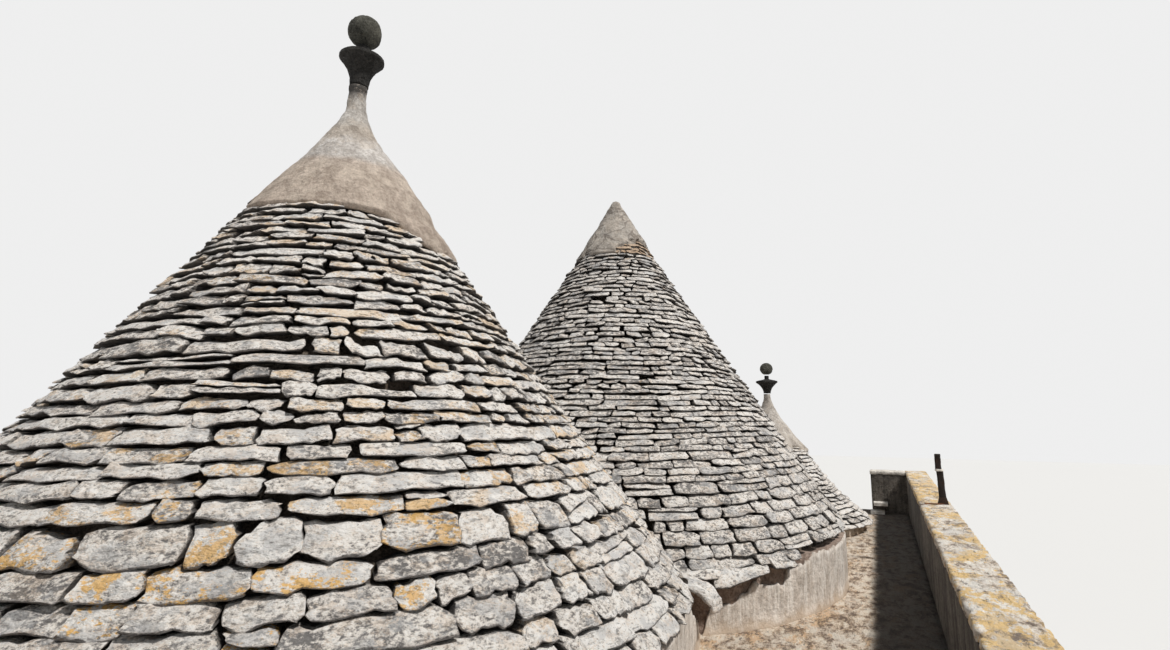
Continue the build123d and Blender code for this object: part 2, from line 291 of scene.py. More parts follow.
grain_group, given, out = new_group(
    "stone_grain", [("Scale", 1.0)], ["Mottle", "Fine", "Pits", "Height"]
)
place = scaled_vector(grain_group, given["Vector"], given["Scale"])
mottle = noise(grain_group, place, 8, detail=7, roughness=0.64)
fine = noise(grain_group, place, 34, detail=5, roughness=0.68)
hollow = noise(grain_group, place, 27, detail=6, roughness=0.76)
pits = step(grain_group, hollow, 0.34, 0.42, 1.0, 0.0)
height = scaled(grain_group, fine, 0.50, mottle)
height = scaled(grain_group, hollow, 0.50, height)
put(grain_group, mottle, out["Mottle"])
put(grain_group, fine, out["Fine"])
put(grain_group, pits, out["Pits"])
put(grain_group, height, out["Height"])

lichen_group, given, out = new_group(
    "lichen_patches", [("Scale", 1.0), ("Cover", 0.5)], ["Patch", "Speck"]
)
place = scaled_vector(lichen_group, given["Vector"], given["Scale"])
large = noise(lichen_group, place, 3.1, detail=8, roughness=0.66, distortion=0.3)
small = noise(lichen_group, place, 24, detail=5, roughness=0.7)
edge = scaled(lichen_group, given["Cover"], -0.24, 0.62)
mixed_noise = scaled(lichen_group, small, 0.35, times(lichen_group, large, 0.65))
patch = calc(lichen_group, "SUBTRACT", mixed_noise, edge)
put(lichen_group, step(lichen_group, patch, -0.015, 0.025), out["Patch"])
speck_edge = scaled(lichen_group, given["Cover"], -0.14, 0.62)
speck = calc(lichen_group, "SUBTRACT", small, speck_edge)
put(lichen_group, step(lichen_group, speck, -0.02, 0.03), out["Speck"])

streak_group, given, out = new_group("rain_streaks", [("Width", 1.0)], ["Streak", "Cloud"])
narrow = scaled_vector(streak_group, given["Vector"], given["Width"])
runs = noise(streak_group, stretched(streak_group, narrow, (7, 7, 0.55)), 1, 6, 0.62)
threads = noise(streak_group, stretched(streak_group, narrow, (26, 26, 1.6)), 1, 5, 0.6)
run_mask = step(streak_group, runs, 0.40, 0.66)
thread_mask = step(streak_group, threads, 0.42, 0.68)
put(streak_group, scaled(streak_group, thread_mask, 0.45, run_mask), out["Streak"])
put(streak_group, noise(streak_group, narrow, 1.1, 6, 0.6), out["Cloud"])


def use_group(tree, group, vector, **values):
    """Places a shared group in a material and gives back its outputs."""
    node = add(tree, "ShaderNodeGroup")
    node.node_tree = group
    put(tree, vector, node.inputs["Vector"])
    for label, value in values.items():
        put(tree, value, node.inputs[label])
    return node.outputs


def finish_surface(tree, colour, roughness, height, depth):
    """The Principled shader, with a bump of the given depth in metres."""
    bump = add(tree, "ShaderNodeBump")
    bump.inputs["Strength"].default_value = 1.0
    bump.inputs["Distance"].default_value = depth
    put(tree, height, bump.inputs["Height"])
    surface = add(tree, "ShaderNodeBsdfPrincipled")
    put(tree, colour, surface.inputs["Base Color"])
    put(tree, roughness, surface.inputs["Roughness"])
    surface.inputs["Specular IOR Level"].default_value = 0.25
    put(tree, bump.outputs["Normal"], surface.inputs["Normal"])
    put(tree, surface.outputs[0], add(tree, "ShaderNodeOutputMaterial").inputs["Surface"])


print("shared groups", [group.name for group in (grain_group, lichen_group, streak_group)])

# %% [markdown]
# ## Roof stone
# The slabs are pale grey limestone. Each has its own tone, from blue-grey to warm beige, with
# black lichen in its pits and along its lower edge, and ochre lichen in patches that are thickest
# on the low courses of the near cone. The mesh gives each stone a random "tone" and marks its
# sunk edges with "rim", so the shader needs no picture. Along the rim, at each stone's lower
# edge and in the joints, the shader adds black lichen and paints shade: a grey band and black
# joints stand in for the shadow under each stone and between stones.


# %% Roof stone material
BLUE_GREY = rgb(0.56, 0.56, 0.57)
BEIGE_FLECK = rgb(0.84, 0.69, 0.56)
GREY_LICHEN = rgb(0.36, 0.35, 0.345)
BARED_BROWN = rgb(0.56, 0.36, 0.20)
OCHRE_LICHEN = rgb(0.93, 0.53, 0.115)
BLACK_LICHEN = rgb(0.11, 0.10, 0.10)
# Painted shade along each stone's lower edge and sides, and in the joints:
PAINTED_EDGE_SHADE = rgb(0.16, 0.15, 0.15)
PAINTED_JOINT_SHADOW = rgb(0.075, 0.068, 0.065)
STONE_TONES = [
    (0.0, (0.22, 0.21, 0.205)),
    (0.18, (0.54, 0.505, 0.475)),
    (0.42, (0.87, 0.81, 0.75)),
    (0.66, (0.975, 0.93, 0.88)),
    (1.0, (0.985, 0.96, 0.93)),
]
DRY_SIDE_START, DRY_SIDE_END = 1.15, 1.70
STONE_RELIEF = 0.038


def roof_stone_material(name, ochre_cover, ochre_low, ochre_high, scale=1.0, speckle=0.50):
    """Limestone slabs. Ochre lichen fades between two heights above the ground, and it stays off
    the side by the walkway, which dries first. Speckle is how black the pits are."""
    material, tree = new_material(name)
    place = own_place(tree)
    tone = own_value(tree, "tone")
    rim = own_value(tree, "rim")
    warm = own_value(tree, "warm")
    own = add(tree, "ShaderNodeVectorMath", operation="MULTIPLY_ADD")
    put(tree, tone, own.inputs[0])
    own.inputs[1].default_value = (31, 17, 23)
    put(tree, stretched(tree, place, (scale, scale, 1.9 * scale)), own.inputs[2])
    bedded = own.outputs["Vector"]
    grain = use_group(tree, grain_group, bedded, Scale=1.0)
    lichen = use_group(tree, lichen_group, bedded, Scale=1.3, Cover=0.20)
    ochre = use_group(tree, lichen_group, bedded, Scale=1.5, Cover=ochre_cover)
    flecks = use_group(tree, lichen_group, bedded, Scale=3.0, Cover=0.35)
    beds = noise(tree, stretched(tree, bedded, (1, 1, 2.2)), 12, 5, 0.62)
    shade = scaled(tree, grain["Mottle"], 2.3, -1.15)
    shade = calc(tree, "ADD", shade, scaled(tree, grain["Fine"], 3.6, -1.8))
    base = shades(tree, calc(tree, "ADD", tone, shade), STONE_TONES)
    bluish = step(tree, noise(tree, bedded, 5, 5, 0.62), 0.51, 0.59, 0.0, 0.55)
    base = blend(tree, bluish, base, BLUE_GREY)
    base = blend(tree, times(tree, flecks["Patch"], 0.40), base, BEIGE_FLECK)
    base = blend(tree, times(tree, lichen["Patch"], 0.48), base, GREY_LICHEN)
    base = blend(tree, step(tree, warm, 1.3, 1.7, 0.0, 0.70), base, BARED_BROWN)
    low_part = step(tree, along_axis(tree, place, "Z"), ochre_low, ochre_high, 1.0, 0.30)
    moist = step(tree, along_axis(tree, place, "X"), DRY_SIDE_START, DRY_SIDE_END, 1.0, 0.12)
    chosen = times(tree, step(tree, warm, 0.46, 0.66), times(tree, low_part, moist))
    ochre_amount = times(tree, ochre["Patch"], chosen)
    base = blend(tree, times(tree, ochre_amount, 0.92), base, OCHRE_LICHEN)
    lines = step(tree, beds, 0.345, 0.385, 0.85, 0.0)
    black = calc(tree, "MAXIMUM", calc(tree, "MAXIMUM", lichen["Speck"], grain["Pits"]), lines)
    # Toward the rim the black lichen grows thicker, along the lower edge and in the joints.
    low = scaled(tree, rim, 0.40, speckle)
    base = blend(tree, times(tree, black, low), base, BLACK_LICHEN)
    # Painted shade: along the rim the stone turns grey, and black where sunk passes its threshold,
    # for the shadow under each stone and in the joints.
    base = blend(tree, times(tree, rim, 0.10), base, PAINTED_EDGE_SHADE)
    sunk = scaled(tree, grain["Fine"], 1.8, calc(tree, "SUBTRACT", rim, 0.90))
    base = blend(tree, step(tree, sunk, 0.38, 0.74, 0.0, 0.88), base, PAINTED_JOINT_SHADOW)
    roughness = step(tree, grain["Mottle"], 0.2, 0.8, 0.82, 0.97)
    relief = scaled(tree, lines, -0.16, grain["Height"])
    finish_surface(tree, base, roughness, relief, STONE_RELIEF / scale)
    return material


near_stone = roof_stone_material("near_roof_stone", 0.42, 3.3, 4.4, 1.20, 0.42)
middle_stone = roof_stone_material("middle_roof_stone", 0.02, 2.9, 3.6, 1.05, 0.58)
far_stone = roof_stone_material("far_roof_stone", 0.02, 2.6, 3.2, 1.20, 0.40)
door_stone = roof_stone_material("door_stone", 0.02, 0.0, 0.1, 0.9, 0.20)
print("stone materials", near_stone.name, middle_stone.name, far_stone.name)

# %% [markdown]
# ## Lime, mortar and plaster
# The caps, drums, parapets and walls are all lime over masonry. What differs is age and colour,
# so one function makes them all, from a light tone, a dark tone and how much each effect shows.


# %% Lime materials
GROUND_SPLASH = rgb(0.42, 0.34, 0.26)
COPING_DRIP = rgb(0.34, 0.30, 0.26)
LIME_RUN = rgb(0.92, 0.875, 0.82)
LIME_CLOUDS = rgb(0.70, 0.69, 0.68), rgb(1.13, 1.12, 1.11)
LIME_SPECKLE = rgb(0.74, 0.73, 0.72), rgb(1.15, 1.15, 1.15)


def mottled(tree, base, grain, amount, clouds, speckle):
    """Multiplies a colour by broad clouds and by a fine speckle, each from a dark factor to a
    light one."""
    broad = blend(tree, step(tree, grain["Mottle"], 0.34, 0.66), *clouds)
    fine = blend(tree, step(tree, grain["Fine"], 0.36, 0.64), *speckle)
    base = blend(tree, amount, base, broad, "MULTIPLY")
    return blend(tree, amount, base, fine, "MULTIPLY")


def lime_colour(tree, place, grain, light, dark, stain, streaks, stains, scale):
    """Colour of a lime surface: clouds between two tones, rain streaks and stains of a third."""
    rain = use_group(tree, streak_group, place, Width=1.0)
    spots = use_group(tree, lichen_group, place, Scale=1.2 * scale, Cover=0.30)
    base = blend(tree, step(tree, rain["Cloud"], 0.36, 0.66), rgb(*dark), rgb(*light))
    base = mottled(tree, base, grain, 0.85, LIME_CLOUDS, LIME_SPECKLE)
    base = blend(tree, times(tree, rain["Streak"], streaks), base, rgb(*stain))
    base = blend(tree, times(tree, spots["Patch"], stains), base, rgb(*stain))
    specks = calc(tree, "MAXIMUM", spots["Speck"], grain["Pits"])
    return blend(tree, times(tree, specks, stains), base, rgb(*(0.5 * c for c in stain)))


def wall_colour(tree, place, grain):
    """The outer plaster. It is greyer below the copings and where the ground splashes up."""
    base = lime_colour(tree, place, grain, (0.88, 0.84, 0.77), (0.76, 0.70, 0.61),
                       (0.50, 0.43, 0.35), 0.30, 0.15, 0.6)
    rise = scaled(tree, grain["Mottle"], 0.8, along_axis(tree, place, "Z"))
    base = blend(tree, step(tree, rise, 0.40, 0.72, 0.75, 0.0), base, GROUND_SPLASH)
    return blend(tree, step(tree, rise, 3.20, 3.62, 0.0, 0.70), base, COPING_DRIP)


def lime_material(name, light, dark, stain, streaks=0.5, stains=0.4, depth=0.02, scale=1.0,
                  ground=None, whites=0.0):
    """Lime surface. A ground, given as a height and a colour, darkens the surface below that
    height: on the drums it is soil splashed up from the terrace, on the return coping it is
    painted shade below its lit top. Whites are pale threads where lime has run."""
    material, tree = new_material(name)
    place = own_place(tree)
    grain = use_group(tree, grain_group, place, Scale=scale)
    base = lime_colour(tree, place, grain, light, dark, stain, streaks, stains, scale)
    if whites:
        threads = noise(tree, stretched(tree, place, (30, 30, 4)), 1, 7, 0.70)
        base = blend(tree, step(tree, threads, 0.47, 0.60, 0.0, whites), base, LIME_RUN)
    if ground:
        level, low_colour = ground
        rise = scaled(tree, grain["Mottle"], 0.22, along_axis(tree, place, "Z"))
        darkened_below = step(tree, rise, level + 0.02, level + 0.13, 0.85, 0.0)
        base = blend(tree, darkened_below, base, rgb(*low_colour))
    roughness = step(tree, grain["Mottle"], 0.2, 0.8, 0.84, 0.97)
    finish_surface(tree, base, roughness, grain["Height"], depth)
    return material


drum_plaster = lime_material(
    "drum_plaster", (0.84, 0.785, 0.735), (0.63, 0.565, 0.505), (0.46, 0.385, 0.32), 0.42, 0.22,
    0.016, 1.3, ground=(TERRACE + 0.10, (0.55, 0.435, 0.33)), whites=0.60)
drum_core_stone = lime_material(
    "drum_core_stone", (0.60, 0.48, 0.41), (0.42, 0.32, 0.265), (0.15, 0.10, 0.08), 0.2, 0.35,
    0.04)
# The east parapet's plaster is much darker than the sunlit_parapet of the other sides: black algae,
# and painted shade where the sun doesn't reach its inner face.
parapet_plaster = lime_material(
    "parapet_plaster", (0.25, 0.225, 0.20), (0.11, 0.10, 0.09), (0.04, 0.036, 0.032), 0.7, 0.5)
sunlit_parapet = lime_material(
    "sunlit_parapet", (0.60, 0.55, 0.48), (0.38, 0.34, 0.29), (0.12, 0.10, 0.09), 0.55, 0.35)
dressed_stone = lime_material(
    "dressed_stone", (0.80, 0.73, 0.62), (0.62, 0.54, 0.44), (0.30, 0.24, 0.18), 0.12, 0.35)
step_lime = lime_material(
    "step_lime", (0.92, 0.89, 0.84), (0.80, 0.76, 0.70), (0.55, 0.50, 0.44), 0.1, 0.2)
rubble_stone = lime_material(
    "rubble_stone", (0.34, 0.29, 0.24), (0.18, 0.14, 0.11), (0.06, 0.05, 0.04), 0.1, 0.6, 0.08)
# The cup is nearly black: dark lichen, darkened further as painted shade.
cup_stone = lime_material(
    "cup_stone", (0.10, 0.097, 0.092), (0.035, 0.034, 0.033), (0.015, 0.015, 0.014), 0.1, 0.5,
    0.05, 2.2)
ball_stone = lime_material(
    "ball_stone", (0.30, 0.295, 0.25), (0.10, 0.10, 0.085), (0.03, 0.03, 0.026), 0.1, 0.5, 0.05,
    2.2)
# The return coping's face is painted near black below its top: painted shade.
return_lime = lime_material(
    "return_lime", (0.90, 0.87, 0.82), (0.78, 0.73, 0.66), (0.5, 0.44, 0.36), 0.0, 0.25,
    ground=(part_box("rear_return_coping")[1].z - 0.075, (0.10, 0.09, 0.085)))
post_iron = lime_material(
    "post_iron", (0.040, 0.036, 0.034), (0.02, 0.018, 0.018), (0.06, 0.03, 0.018), 0.2, 0.4, 0.006,
    3.0)
foot_iron = lime_material(
    "foot_iron", (0.13, 0.07, 0.045), (0.05, 0.032, 0.025), (0.03, 0.02, 0.015), 0.2, 0.5, 0.006,
    3.0)
foot_rust = lime_material(
    "foot_rust", (0.42, 0.18, 0.07), (0.20, 0.08, 0.04), (0.05, 0.025, 0.015), 0.2, 0.5, 0.008, 3.0)

wall_plaster, tree = new_material("wall_plaster")
place = own_place(tree)
grain = use_group(tree, grain_group, place, Scale=0.5)
finish_surface(tree, wall_colour(tree, place, grain), 0.93, grain["Height"], 0.03)
print("lime materials ready")

# %% [markdown]
# ## Mortar of the caps
# A cap was laid in several batches of mortar, and each has weathered to its own tone, so the
# colour changes with height. A ramp over the height gives the bands, and noise moves their edges,
# because a level band would look painted. A few cracks run where the mortar has shrunk.


# %% Banded cap mortar
PATCH_BEIGE = rgb(0.66, 0.57, 0.48)
CRACK_DARK = rgb(0.18, 0.15, 0.13)
CAP_CLOUDS = rgb(0.72, 0.69, 0.66), rgb(1.18, 1.17, 1.15)
CAP_SPECKLE = rgb(0.80, 0.79, 0.78), rgb(1.13, 1.13, 1.13)


def cap_material(name, bands, spread, cracked, depth=0.018, scale=1.4):
    """Mortar in bands, because a cap is laid in several batches. The bands are (height, colour)
    pairs, and noise moves their edges up and down by the spread. Cracks run where another noise
    is close to one half."""
    material, tree = new_material(name)
    place = own_place(tree)
    grain = use_group(tree, grain_group, place, Scale=scale)
    spots = use_group(tree, lichen_group, place, Scale=2.2, Cover=0.42)
    wander = scaled(tree, noise(tree, place, 3.2, 6, 0.6), spread, -0.5 * spread)
    height = calc(tree, "ADD", along_axis(tree, place, "Z"), wander)
    low, high = bands[0][0], bands[-1][0]
    share = scaled(tree, height, 1 / (high - low), -low / (high - low))
    base = shades(tree, share, [((level - low) / (high - low), colour) for level, colour in bands])
    base = mottled(tree, base, grain, 0.9, CAP_CLOUDS, CAP_SPECKLE)
    base = blend(tree, times(tree, spots["Patch"], 0.35), base, PATCH_BEIGE)
    dark = calc(tree, "MAXIMUM", times(tree, grain["Pits"], 0.5),
                times(tree, spots["Speck"], 0.35))
    field = noise(tree, place, 3.6, 5, 0.62, 0.5)
    away = calc(tree, "ABSOLUTE", calc(tree, "SUBTRACT", field, 0.5))
    crack = step(tree, away, 0.006, 0.030, cracked, 0.0)
    base = blend(tree, calc(tree, "MAXIMUM", dark, crack), base, CRACK_DARK)
    relief = scaled(tree, crack, -0.4, grain["Height"])
    finish_surface(tree, base, 0.92, relief, depth)
    return material


near_cap_lime = cap_material("near_cap_lime", [
    (5.20, (0.42, 0.35, 0.30)), (5.66, (0.52, 0.445, 0.385)), (5.735, (0.54, 0.465, 0.41)),
    (5.785, (0.58, 0.555, 0.54)), (5.94, (0.61, 0.585, 0.57)), (6.00, (0.46, 0.415, 0.375)),
    (6.06, (0.48, 0.435, 0.39)), (6.12, (0.57, 0.55, 0.53)), (6.29, (0.50, 0.48, 0.46)),
    (6.345, (0.07, 0.068, 0.066))], 0.13, 0.16)
middle_cap_lime = cap_material("middle_cap_lime", [
    (5.60, (0.36, 0.325, 0.29)), (5.85, (0.45, 0.415, 0.38)), (6.20, (0.48, 0.45, 0.42)),
    (6.60, (0.42, 0.39, 0.36))], 0.30, 0.70, 0.025, 1.6)
far_cap_lime = cap_material("far_cap_lime", [
    (3.50, (0.44, 0.39, 0.34)), (3.80, (0.54, 0.50, 0.46)), (4.10, (0.58, 0.55, 0.52)),
    (4.50, (0.42, 0.39, 0.36))], 0.16, 0.20)
print("cap mortars ready")

# %% [markdown]
# ## Worn beds
# The terrace and the copings are trodden and rained on, so their surface has broken up into
# crumbs of a few tones, with cracks and lichen between them. Two noises of different size are
# added and cut into tones, which keeps the edges of the crumbs crisp from close by.


# %% Worn beds with crisp crumbs
# Where the terrace's painted shadow begins, across and ahead, and how black it is.
SHADOW_STRIP_ACROSS = (2.66, 2.77)
SHADOW_STRIP_AHEAD = (5.62, 5.80)
PAINTED_SHADOW_BLACK = rgb(0.036, 0.032, 0.030)
WORN_GREY = rgb(0.60, 0.585, 0.58)
CRACK_BROWN = rgb(0.15, 0.115, 0.095)


def patchwork_material(name, tones, scale, lichen_cover, grey_amount, depth, painted_shadow=False):
    """Worn surface of crumbs in a few tones, for the terrace bed and the copings. The tones go
    from dark to light, then the lichen's. A painted shadow blackens the walkway's strip along
    the parapet and by the return, where the parapet and the return shade it."""
    material, tree = new_material(name)
    place = own_place(tree)
    drawn = stretched(tree, place, (scale, 0.55 * scale, scale))
    grain = use_group(tree, grain_group, drawn, Scale=1.0)
    patches = noise(tree, drawn, 2.4, 7, 0.68, 0.4)
    crumbs = noise(tree, drawn, 10, 8, 0.76)
    value = scaled(tree, patches, 1.4, scaled(tree, crumbs, 5.0, -2.62))
    base = shades(tree, value, [
        (0.12, tones[0]), (0.34, tones[1]), (0.56, tones[2]), (0.84, tones[3])])
    lichen = use_group(tree, lichen_group, drawn, Scale=1.4, Cover=lichen_cover)
    bright = step(tree, value, 0.15, 0.50, 0.25, 0.80)
    base = blend(tree, times(tree, lichen["Patch"], bright), base, rgb(*tones[4]))
    grey = step(tree, noise(tree, drawn, 3.4, 6, 0.66), 0.50, 0.56, 0.0, grey_amount)
    base = blend(tree, times(tree, grey, bright), base, WORN_GREY)
    cracks = noise(tree, stretched(tree, drawn, (1.6, 0.7, 1.5)), 14, 6, 0.70)
    dark = calc(tree, "MAXIMUM", step(tree, cracks, 0.35, 0.39, 0.70, 0.0),
                times(tree, grain["Pits"], 0.6))
    base = blend(tree, dark, base, CRACK_BROWN)
    # Painted shadow: the strip along the parapet and by the return is blackened where they shade
    # it.
    if painted_shadow:
        wander = scaled(tree, grain["Mottle"], 0.14, -0.07)
        across = calc(tree, "ADD", along_axis(tree, place, "X"), wander)
        ahead = calc(tree, "ADD", along_axis(tree, place, "Y"), wander)
        beside = step(tree, across, *SHADOW_STRIP_ACROSS)
        shaded_by_return = step(tree, ahead, *SHADOW_STRIP_AHEAD)
        painted_shadow_mask = calc(tree, "MAXIMUM", beside, shaded_by_return)
        base = blend(tree, times(tree, painted_shadow_mask, 0.88), base, PAINTED_SHADOW_BLACK)
    relief = scaled(tree, crumbs, 1.2, grain["Height"])
    finish_surface(tree, base, 0.93, scaled(tree, dark, -0.2, relief), depth)
    return material


terrace_mortar = patchwork_material(
    "terrace_mortar",
    [(0.20, 0.145, 0.11), (0.47, 0.355, 0.26), (0.72, 0.58, 0.45), (0.90, 0.80, 0.68),
     (0.78, 0.53, 0.32)],
    1.35, 0.30, 0.22, 0.030, painted_shadow=True)
coping_stone = patchwork_material(
    "coping_stone",
    [(0.26, 0.21, 0.175), (0.56, 0.47, 0.385), (0.78, 0.69, 0.60), (0.92, 0.87, 0.80),
     (0.84, 0.56, 0.20)],
    1.1, 0.56, 0.40, 0.022)
print("worn materials", terrace_mortar.name, coping_stone.name)

# %% [markdown]
# ## Reading the cones from the frame
# The stones follow the outer surface of each cone, so its axis, its radii and the dish of its
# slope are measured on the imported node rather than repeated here. The outline is then one
# table: the slant distance up from the eave, the radius, the height and the outward direction.


# %% Cone outlines
def vertices(node):
    """All vertices of a CAD node, one row each."""
    mesh = nodes[node].data
    points = np.empty(len(mesh.vertices) * 3)
    mesh.vertices.foreach_get("co", points)
    return points.reshape(-1, 3)


RING_TOLERANCE = 0.001
BELOW_EAVE = 0.25
ABOVE_SEAT = 0.35
OUTLINE_STEPS = 400


class Cone:
    """Axis and outline of one stone roof."""

    def __init__(self, name):
        roof = vertices(name + "_roof_slabs")
        self.name = name
        self.eave_height = roof[:, 2].min()
        self.seat_height = roof[:, 2].max()
        at_seat = roof[:, 2] > self.seat_height - RING_TOLERANCE
        at_eave = roof[:, 2] < self.eave_height + RING_TOLERANCE
        ring = roof[at_seat]
        self.centre = (ring.min(0) + ring.max(0))[:2] / 2
        radii = np.hypot(*(roof[:, :2] - self.centre).T)
        self.seat_radius = radii[at_seat].max()
        self.eave_radius = radii[at_eave].max()
        share = (roof[:, 2] - self.eave_height) / (self.seat_height - self.eave_height)
        straight = self.eave_radius + (self.seat_radius - self.eave_radius) * share
        fall = straight - radii
        self.dish = max(0.0, fall[fall < 0.1].max())
        run = self.eave_radius - self.seat_radius
        self.slope = run / (self.seat_height - self.eave_height)
        self.tabulate()

    def tabulate(self):
        """Slant distance against radius and height, from below the eave to above the seat."""
        height = np.linspace(self.eave_height - BELOW_EAVE, self.seat_height + ABOVE_SEAT,
                             OUTLINE_STEPS)
        share = (height - self.eave_height) / (self.seat_height - self.eave_height)
        bow = np.clip(4 * share * (1 - share), 0, 1)
        radius = self.eave_radius - (height - self.eave_height) * self.slope - self.dish * bow
        lengths = np.hypot(np.diff(height), np.diff(radius))
        slant = np.concatenate([[0.0], np.cumsum(lengths)])
        slant -= np.interp(self.eave_height, height, slant)
        self.slant = slant
        self.height = height
        self.radius = radius
        self.lean_out = -np.gradient(radius, slant)
        self.rise = np.gradient(height, slant)
        self.seat_slant = float(np.interp(self.seat_height, height, slant))

    def surface(self, angle, slant, out=0.0):
        """Points at an angle round the axis and a slant distance up, moved outwards by out."""
        rise = np.interp(slant, self.slant, self.rise)
        lean = np.interp(slant, self.slant, self.lean_out)
        radius = np.interp(slant, self.slant, self.radius) + rise * out
        height = np.interp(slant, self.slant, self.height) + lean * out
        x = self.centre[0] + radius * np.cos(angle)
        y = self.centre[1] + radius * np.sin(angle)
        return np.stack([x, y, height], -1)

    def radius_at(self, height):
        """Outer radius at a height."""
        return np.interp(height, self.height, self.radius)

    def proud_of(self, points):
        """How far points stand outside this cone, level with them; negative inside."""
        away = np.hypot(points[..., 0] - self.centre[0], points[..., 1] - self.centre[1])
        return away - self.radius_at(points[..., 2])


near, middle, far = (Cone(name) for name in ("near", "middle", "far"))
for cone in (near, middle, far):
    print(cone.name, "axis", cone.centre.round(3), "eave", round(cone.eave_radius, 3),
          "seat", round(cone.seat_radius, 3), "slant", round(cone.seat_slant, 3),
          "dish", round(cone.dish, 3))

# %% [markdown]
# ## Random shapes without a picture
# Rough stone needs a field that wanders smoothly. A sum of sine waves in random directions
# does it for whole arrays at once, and a seed makes it the same in every run.


# %% Boxes, rings and the smooth random field
def corners_of(node):
    """Lowest and highest corner of a CAD node, as arrays."""
    return tuple(np.array(corner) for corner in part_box(node))


def unit_ring(angle, level=0.0):
    """Points on the unit circle at the given angles, raised to a level."""
    return np.stack([np.cos(angle), np.sin(angle), 0 * angle + level], -1)


def round_axis(centre, angle, radius, height):
    """Points at an angle and a radius round an upright axis, at a height."""
    return np.stack(np.broadcast_arrays(
        centre[0] + np.cos(angle) * radius, centre[1] + np.sin(angle) * radius, height), -1)


def ring_angles(columns):
    """Even angles, once round."""
    return np.arange(columns) * 2 * np.pi / columns


def unit(vectors):
    """The same directions with length 1."""
    return vectors / np.linalg.norm(vectors, axis=-1, keepdims=True)


def waves(points, wavelength, seed, count=14):
    """Sum of sine waves: each has a random direction, phase and nearby length."""
    random = np.random.default_rng(seed)
    directions = random.normal(size=(3, count))
    directions /= np.linalg.norm(directions, axis=0)
    lengths = wavelength * random.uniform(0.6, 1.7, count)
    phases = random.uniform(0, 2 * np.pi, count)
    angles = points @ (directions * 2 * np.pi / lengths) + phases
    return np.sin(angles).sum(-1) * math.sqrt(2 / count)


print("field at the origin", round(float(waves(np.zeros(3), 1.0, 1)), 3))


# %% Mesh builder
def new_piece(name, points, faces, material, replaced=(), values=None, smooth_arrays=9):
    """A mesh from arrays. faces is a list of index arrays, each with its own number of corners.
    The first smooth_arrays of them are shaded smooth, the others flat. values are numbers at the
    vertices, by name."""
    mesh = bpy.data.meshes.new(name)
    sizes = np.concatenate([np.full(len(some), some.shape[1]) for some in faces])
    corners = np.concatenate([some.ravel() for some in faces]).astype(np.int32)
    starts = np.concatenate([[0], np.cumsum(sizes)[:-1]]).astype(np.int32)
    mesh.vertices.add(len(points))
    mesh.vertices.foreach_set("co", np.ascontiguousarray(points, np.float32).ravel())
    mesh.loops.add(len(corners))
    mesh.loops.foreach_set("vertex_index", corners)
    mesh.polygons.add(len(sizes))
    mesh.polygons.foreach_set("loop_start", starts)
    smooth = sum(len(some) for some in faces[:smooth_arrays])
    mesh.polygons.foreach_set("use_smooth", np.arange(len(sizes)) < smooth)
    for label, numbers in (values or {}).items():
        layer = mesh.attributes.new(label, "FLOAT", "POINT")
        layer.data.foreach_set("value", np.ascontiguousarray(numbers, np.float32))
    mesh.update(calc_edges=True)
    mesh.materials.append(material)
    piece = bpy.data.objects.new(name, mesh)
    bpy.context.scene.collection.objects.link(piece)
    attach(piece, "root")
    if replaced:
        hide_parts(*replaced)
    triangles = int((sizes - 2).sum())
    print(name, "faces", len(sizes), "triangles", triangles)
    return piece


def thicken(piece, thickness):
    """Gives a sheet its thickness, inwards from the face that shows."""
    wall = piece.modifiers.new("thickness", "SOLIDIFY")
    wall.thickness = thickness
    wall.offset = -1


def only_used(points, faces):
    """Drops the points that no face uses, and numbers the faces' corners again."""
    used, numbers = np.unique(faces, return_inverse=True)
    return points.reshape(-1, 3)[used], numbers.reshape(-1, 4)


print("mesh builder ready")

# %% [markdown]
# ## Dry-laid stones
# A real roof is laid in rings of flat slabs, from the eave up. Each slab's outer face is cut to
# the slope, its lower edge stands a little proud, and its upper edge goes under the next ring.
# The courses wander, the slabs differ in length and height, and the joints are open and dark.
#
# One could array a single stone, but the eye finds the copies at once. Here every stone is its own
# grid patch on the cone: four corners in angle and slant, corners rounded off, a face that is
# tilted, crowned and dented, and sides that run level into the wall.


# %% Lay out the courses
UNDER_LAP = 0.012
UNDER_MORTAR = 0.045
THINNEST = 0.016
PARAPET_SIDE = math.radians(12)
HEIGHT_SPREAD = (0.84, 1.18)
LENGTH_SPREAD = 0.42
SHORTEST, LONGEST = 0.42, 2.2
NARROW_JOINT = 0.0005
WIDE_JOINT, WIDE_JOINT_SHARE = 0.012, 0.12
JOINT_LEAN = 0.006
THIN_SHARE = 0.06
SPLIT_SHARE, SPLIT_TALLER, SPLIT_GAP = 0.09, 0.07, 0.003


def course_beds(first, low_height, high_height, top, specials, seed):
    """Slant of each bed. The first beds are given. Above them course heights shrink upwards and
    vary a little, and specials override."""
    random = np.random.default_rng(seed)
    beds = list(first)
    while beds[-1] < top:
        share = max(0.0, beds[-1] / top)
        height = low_height + (high_height - low_height) * min(1.0, share * 1.15)
        height *= random.uniform(*HEIGHT_SPREAD)
        for start, end, special in specials:
            if start <= beds[-1] < end:
                height = special
        beds.append(beds[-1] + height)
    return np.array(beds)


def course_joints(random, circumference, length, crowd, bearing):
    """Angles of the joints round one course: uneven stone lengths that close the ring. The
    angles are then drawn together about a bearing by crowd times the sine of their distance."""
    count = max(5, int(circumference / length * 1.3))
    pieces = np.exp(random.normal(0, LENGTH_SPREAD, count))
    pieces = np.clip(pieces, SHORTEST, LONGEST) * length
    cumulative = np.cumsum(pieces)
    count = max(5, int(np.argmax(cumulative > circumference)) or count)
    edges = np.concatenate([[0.0], cumulative[:count]])
    angle = edges / edges[-1] * 2 * np.pi + random.uniform(0, 2 * np.pi)
    return angle - crowd * np.sin(angle - bearing)


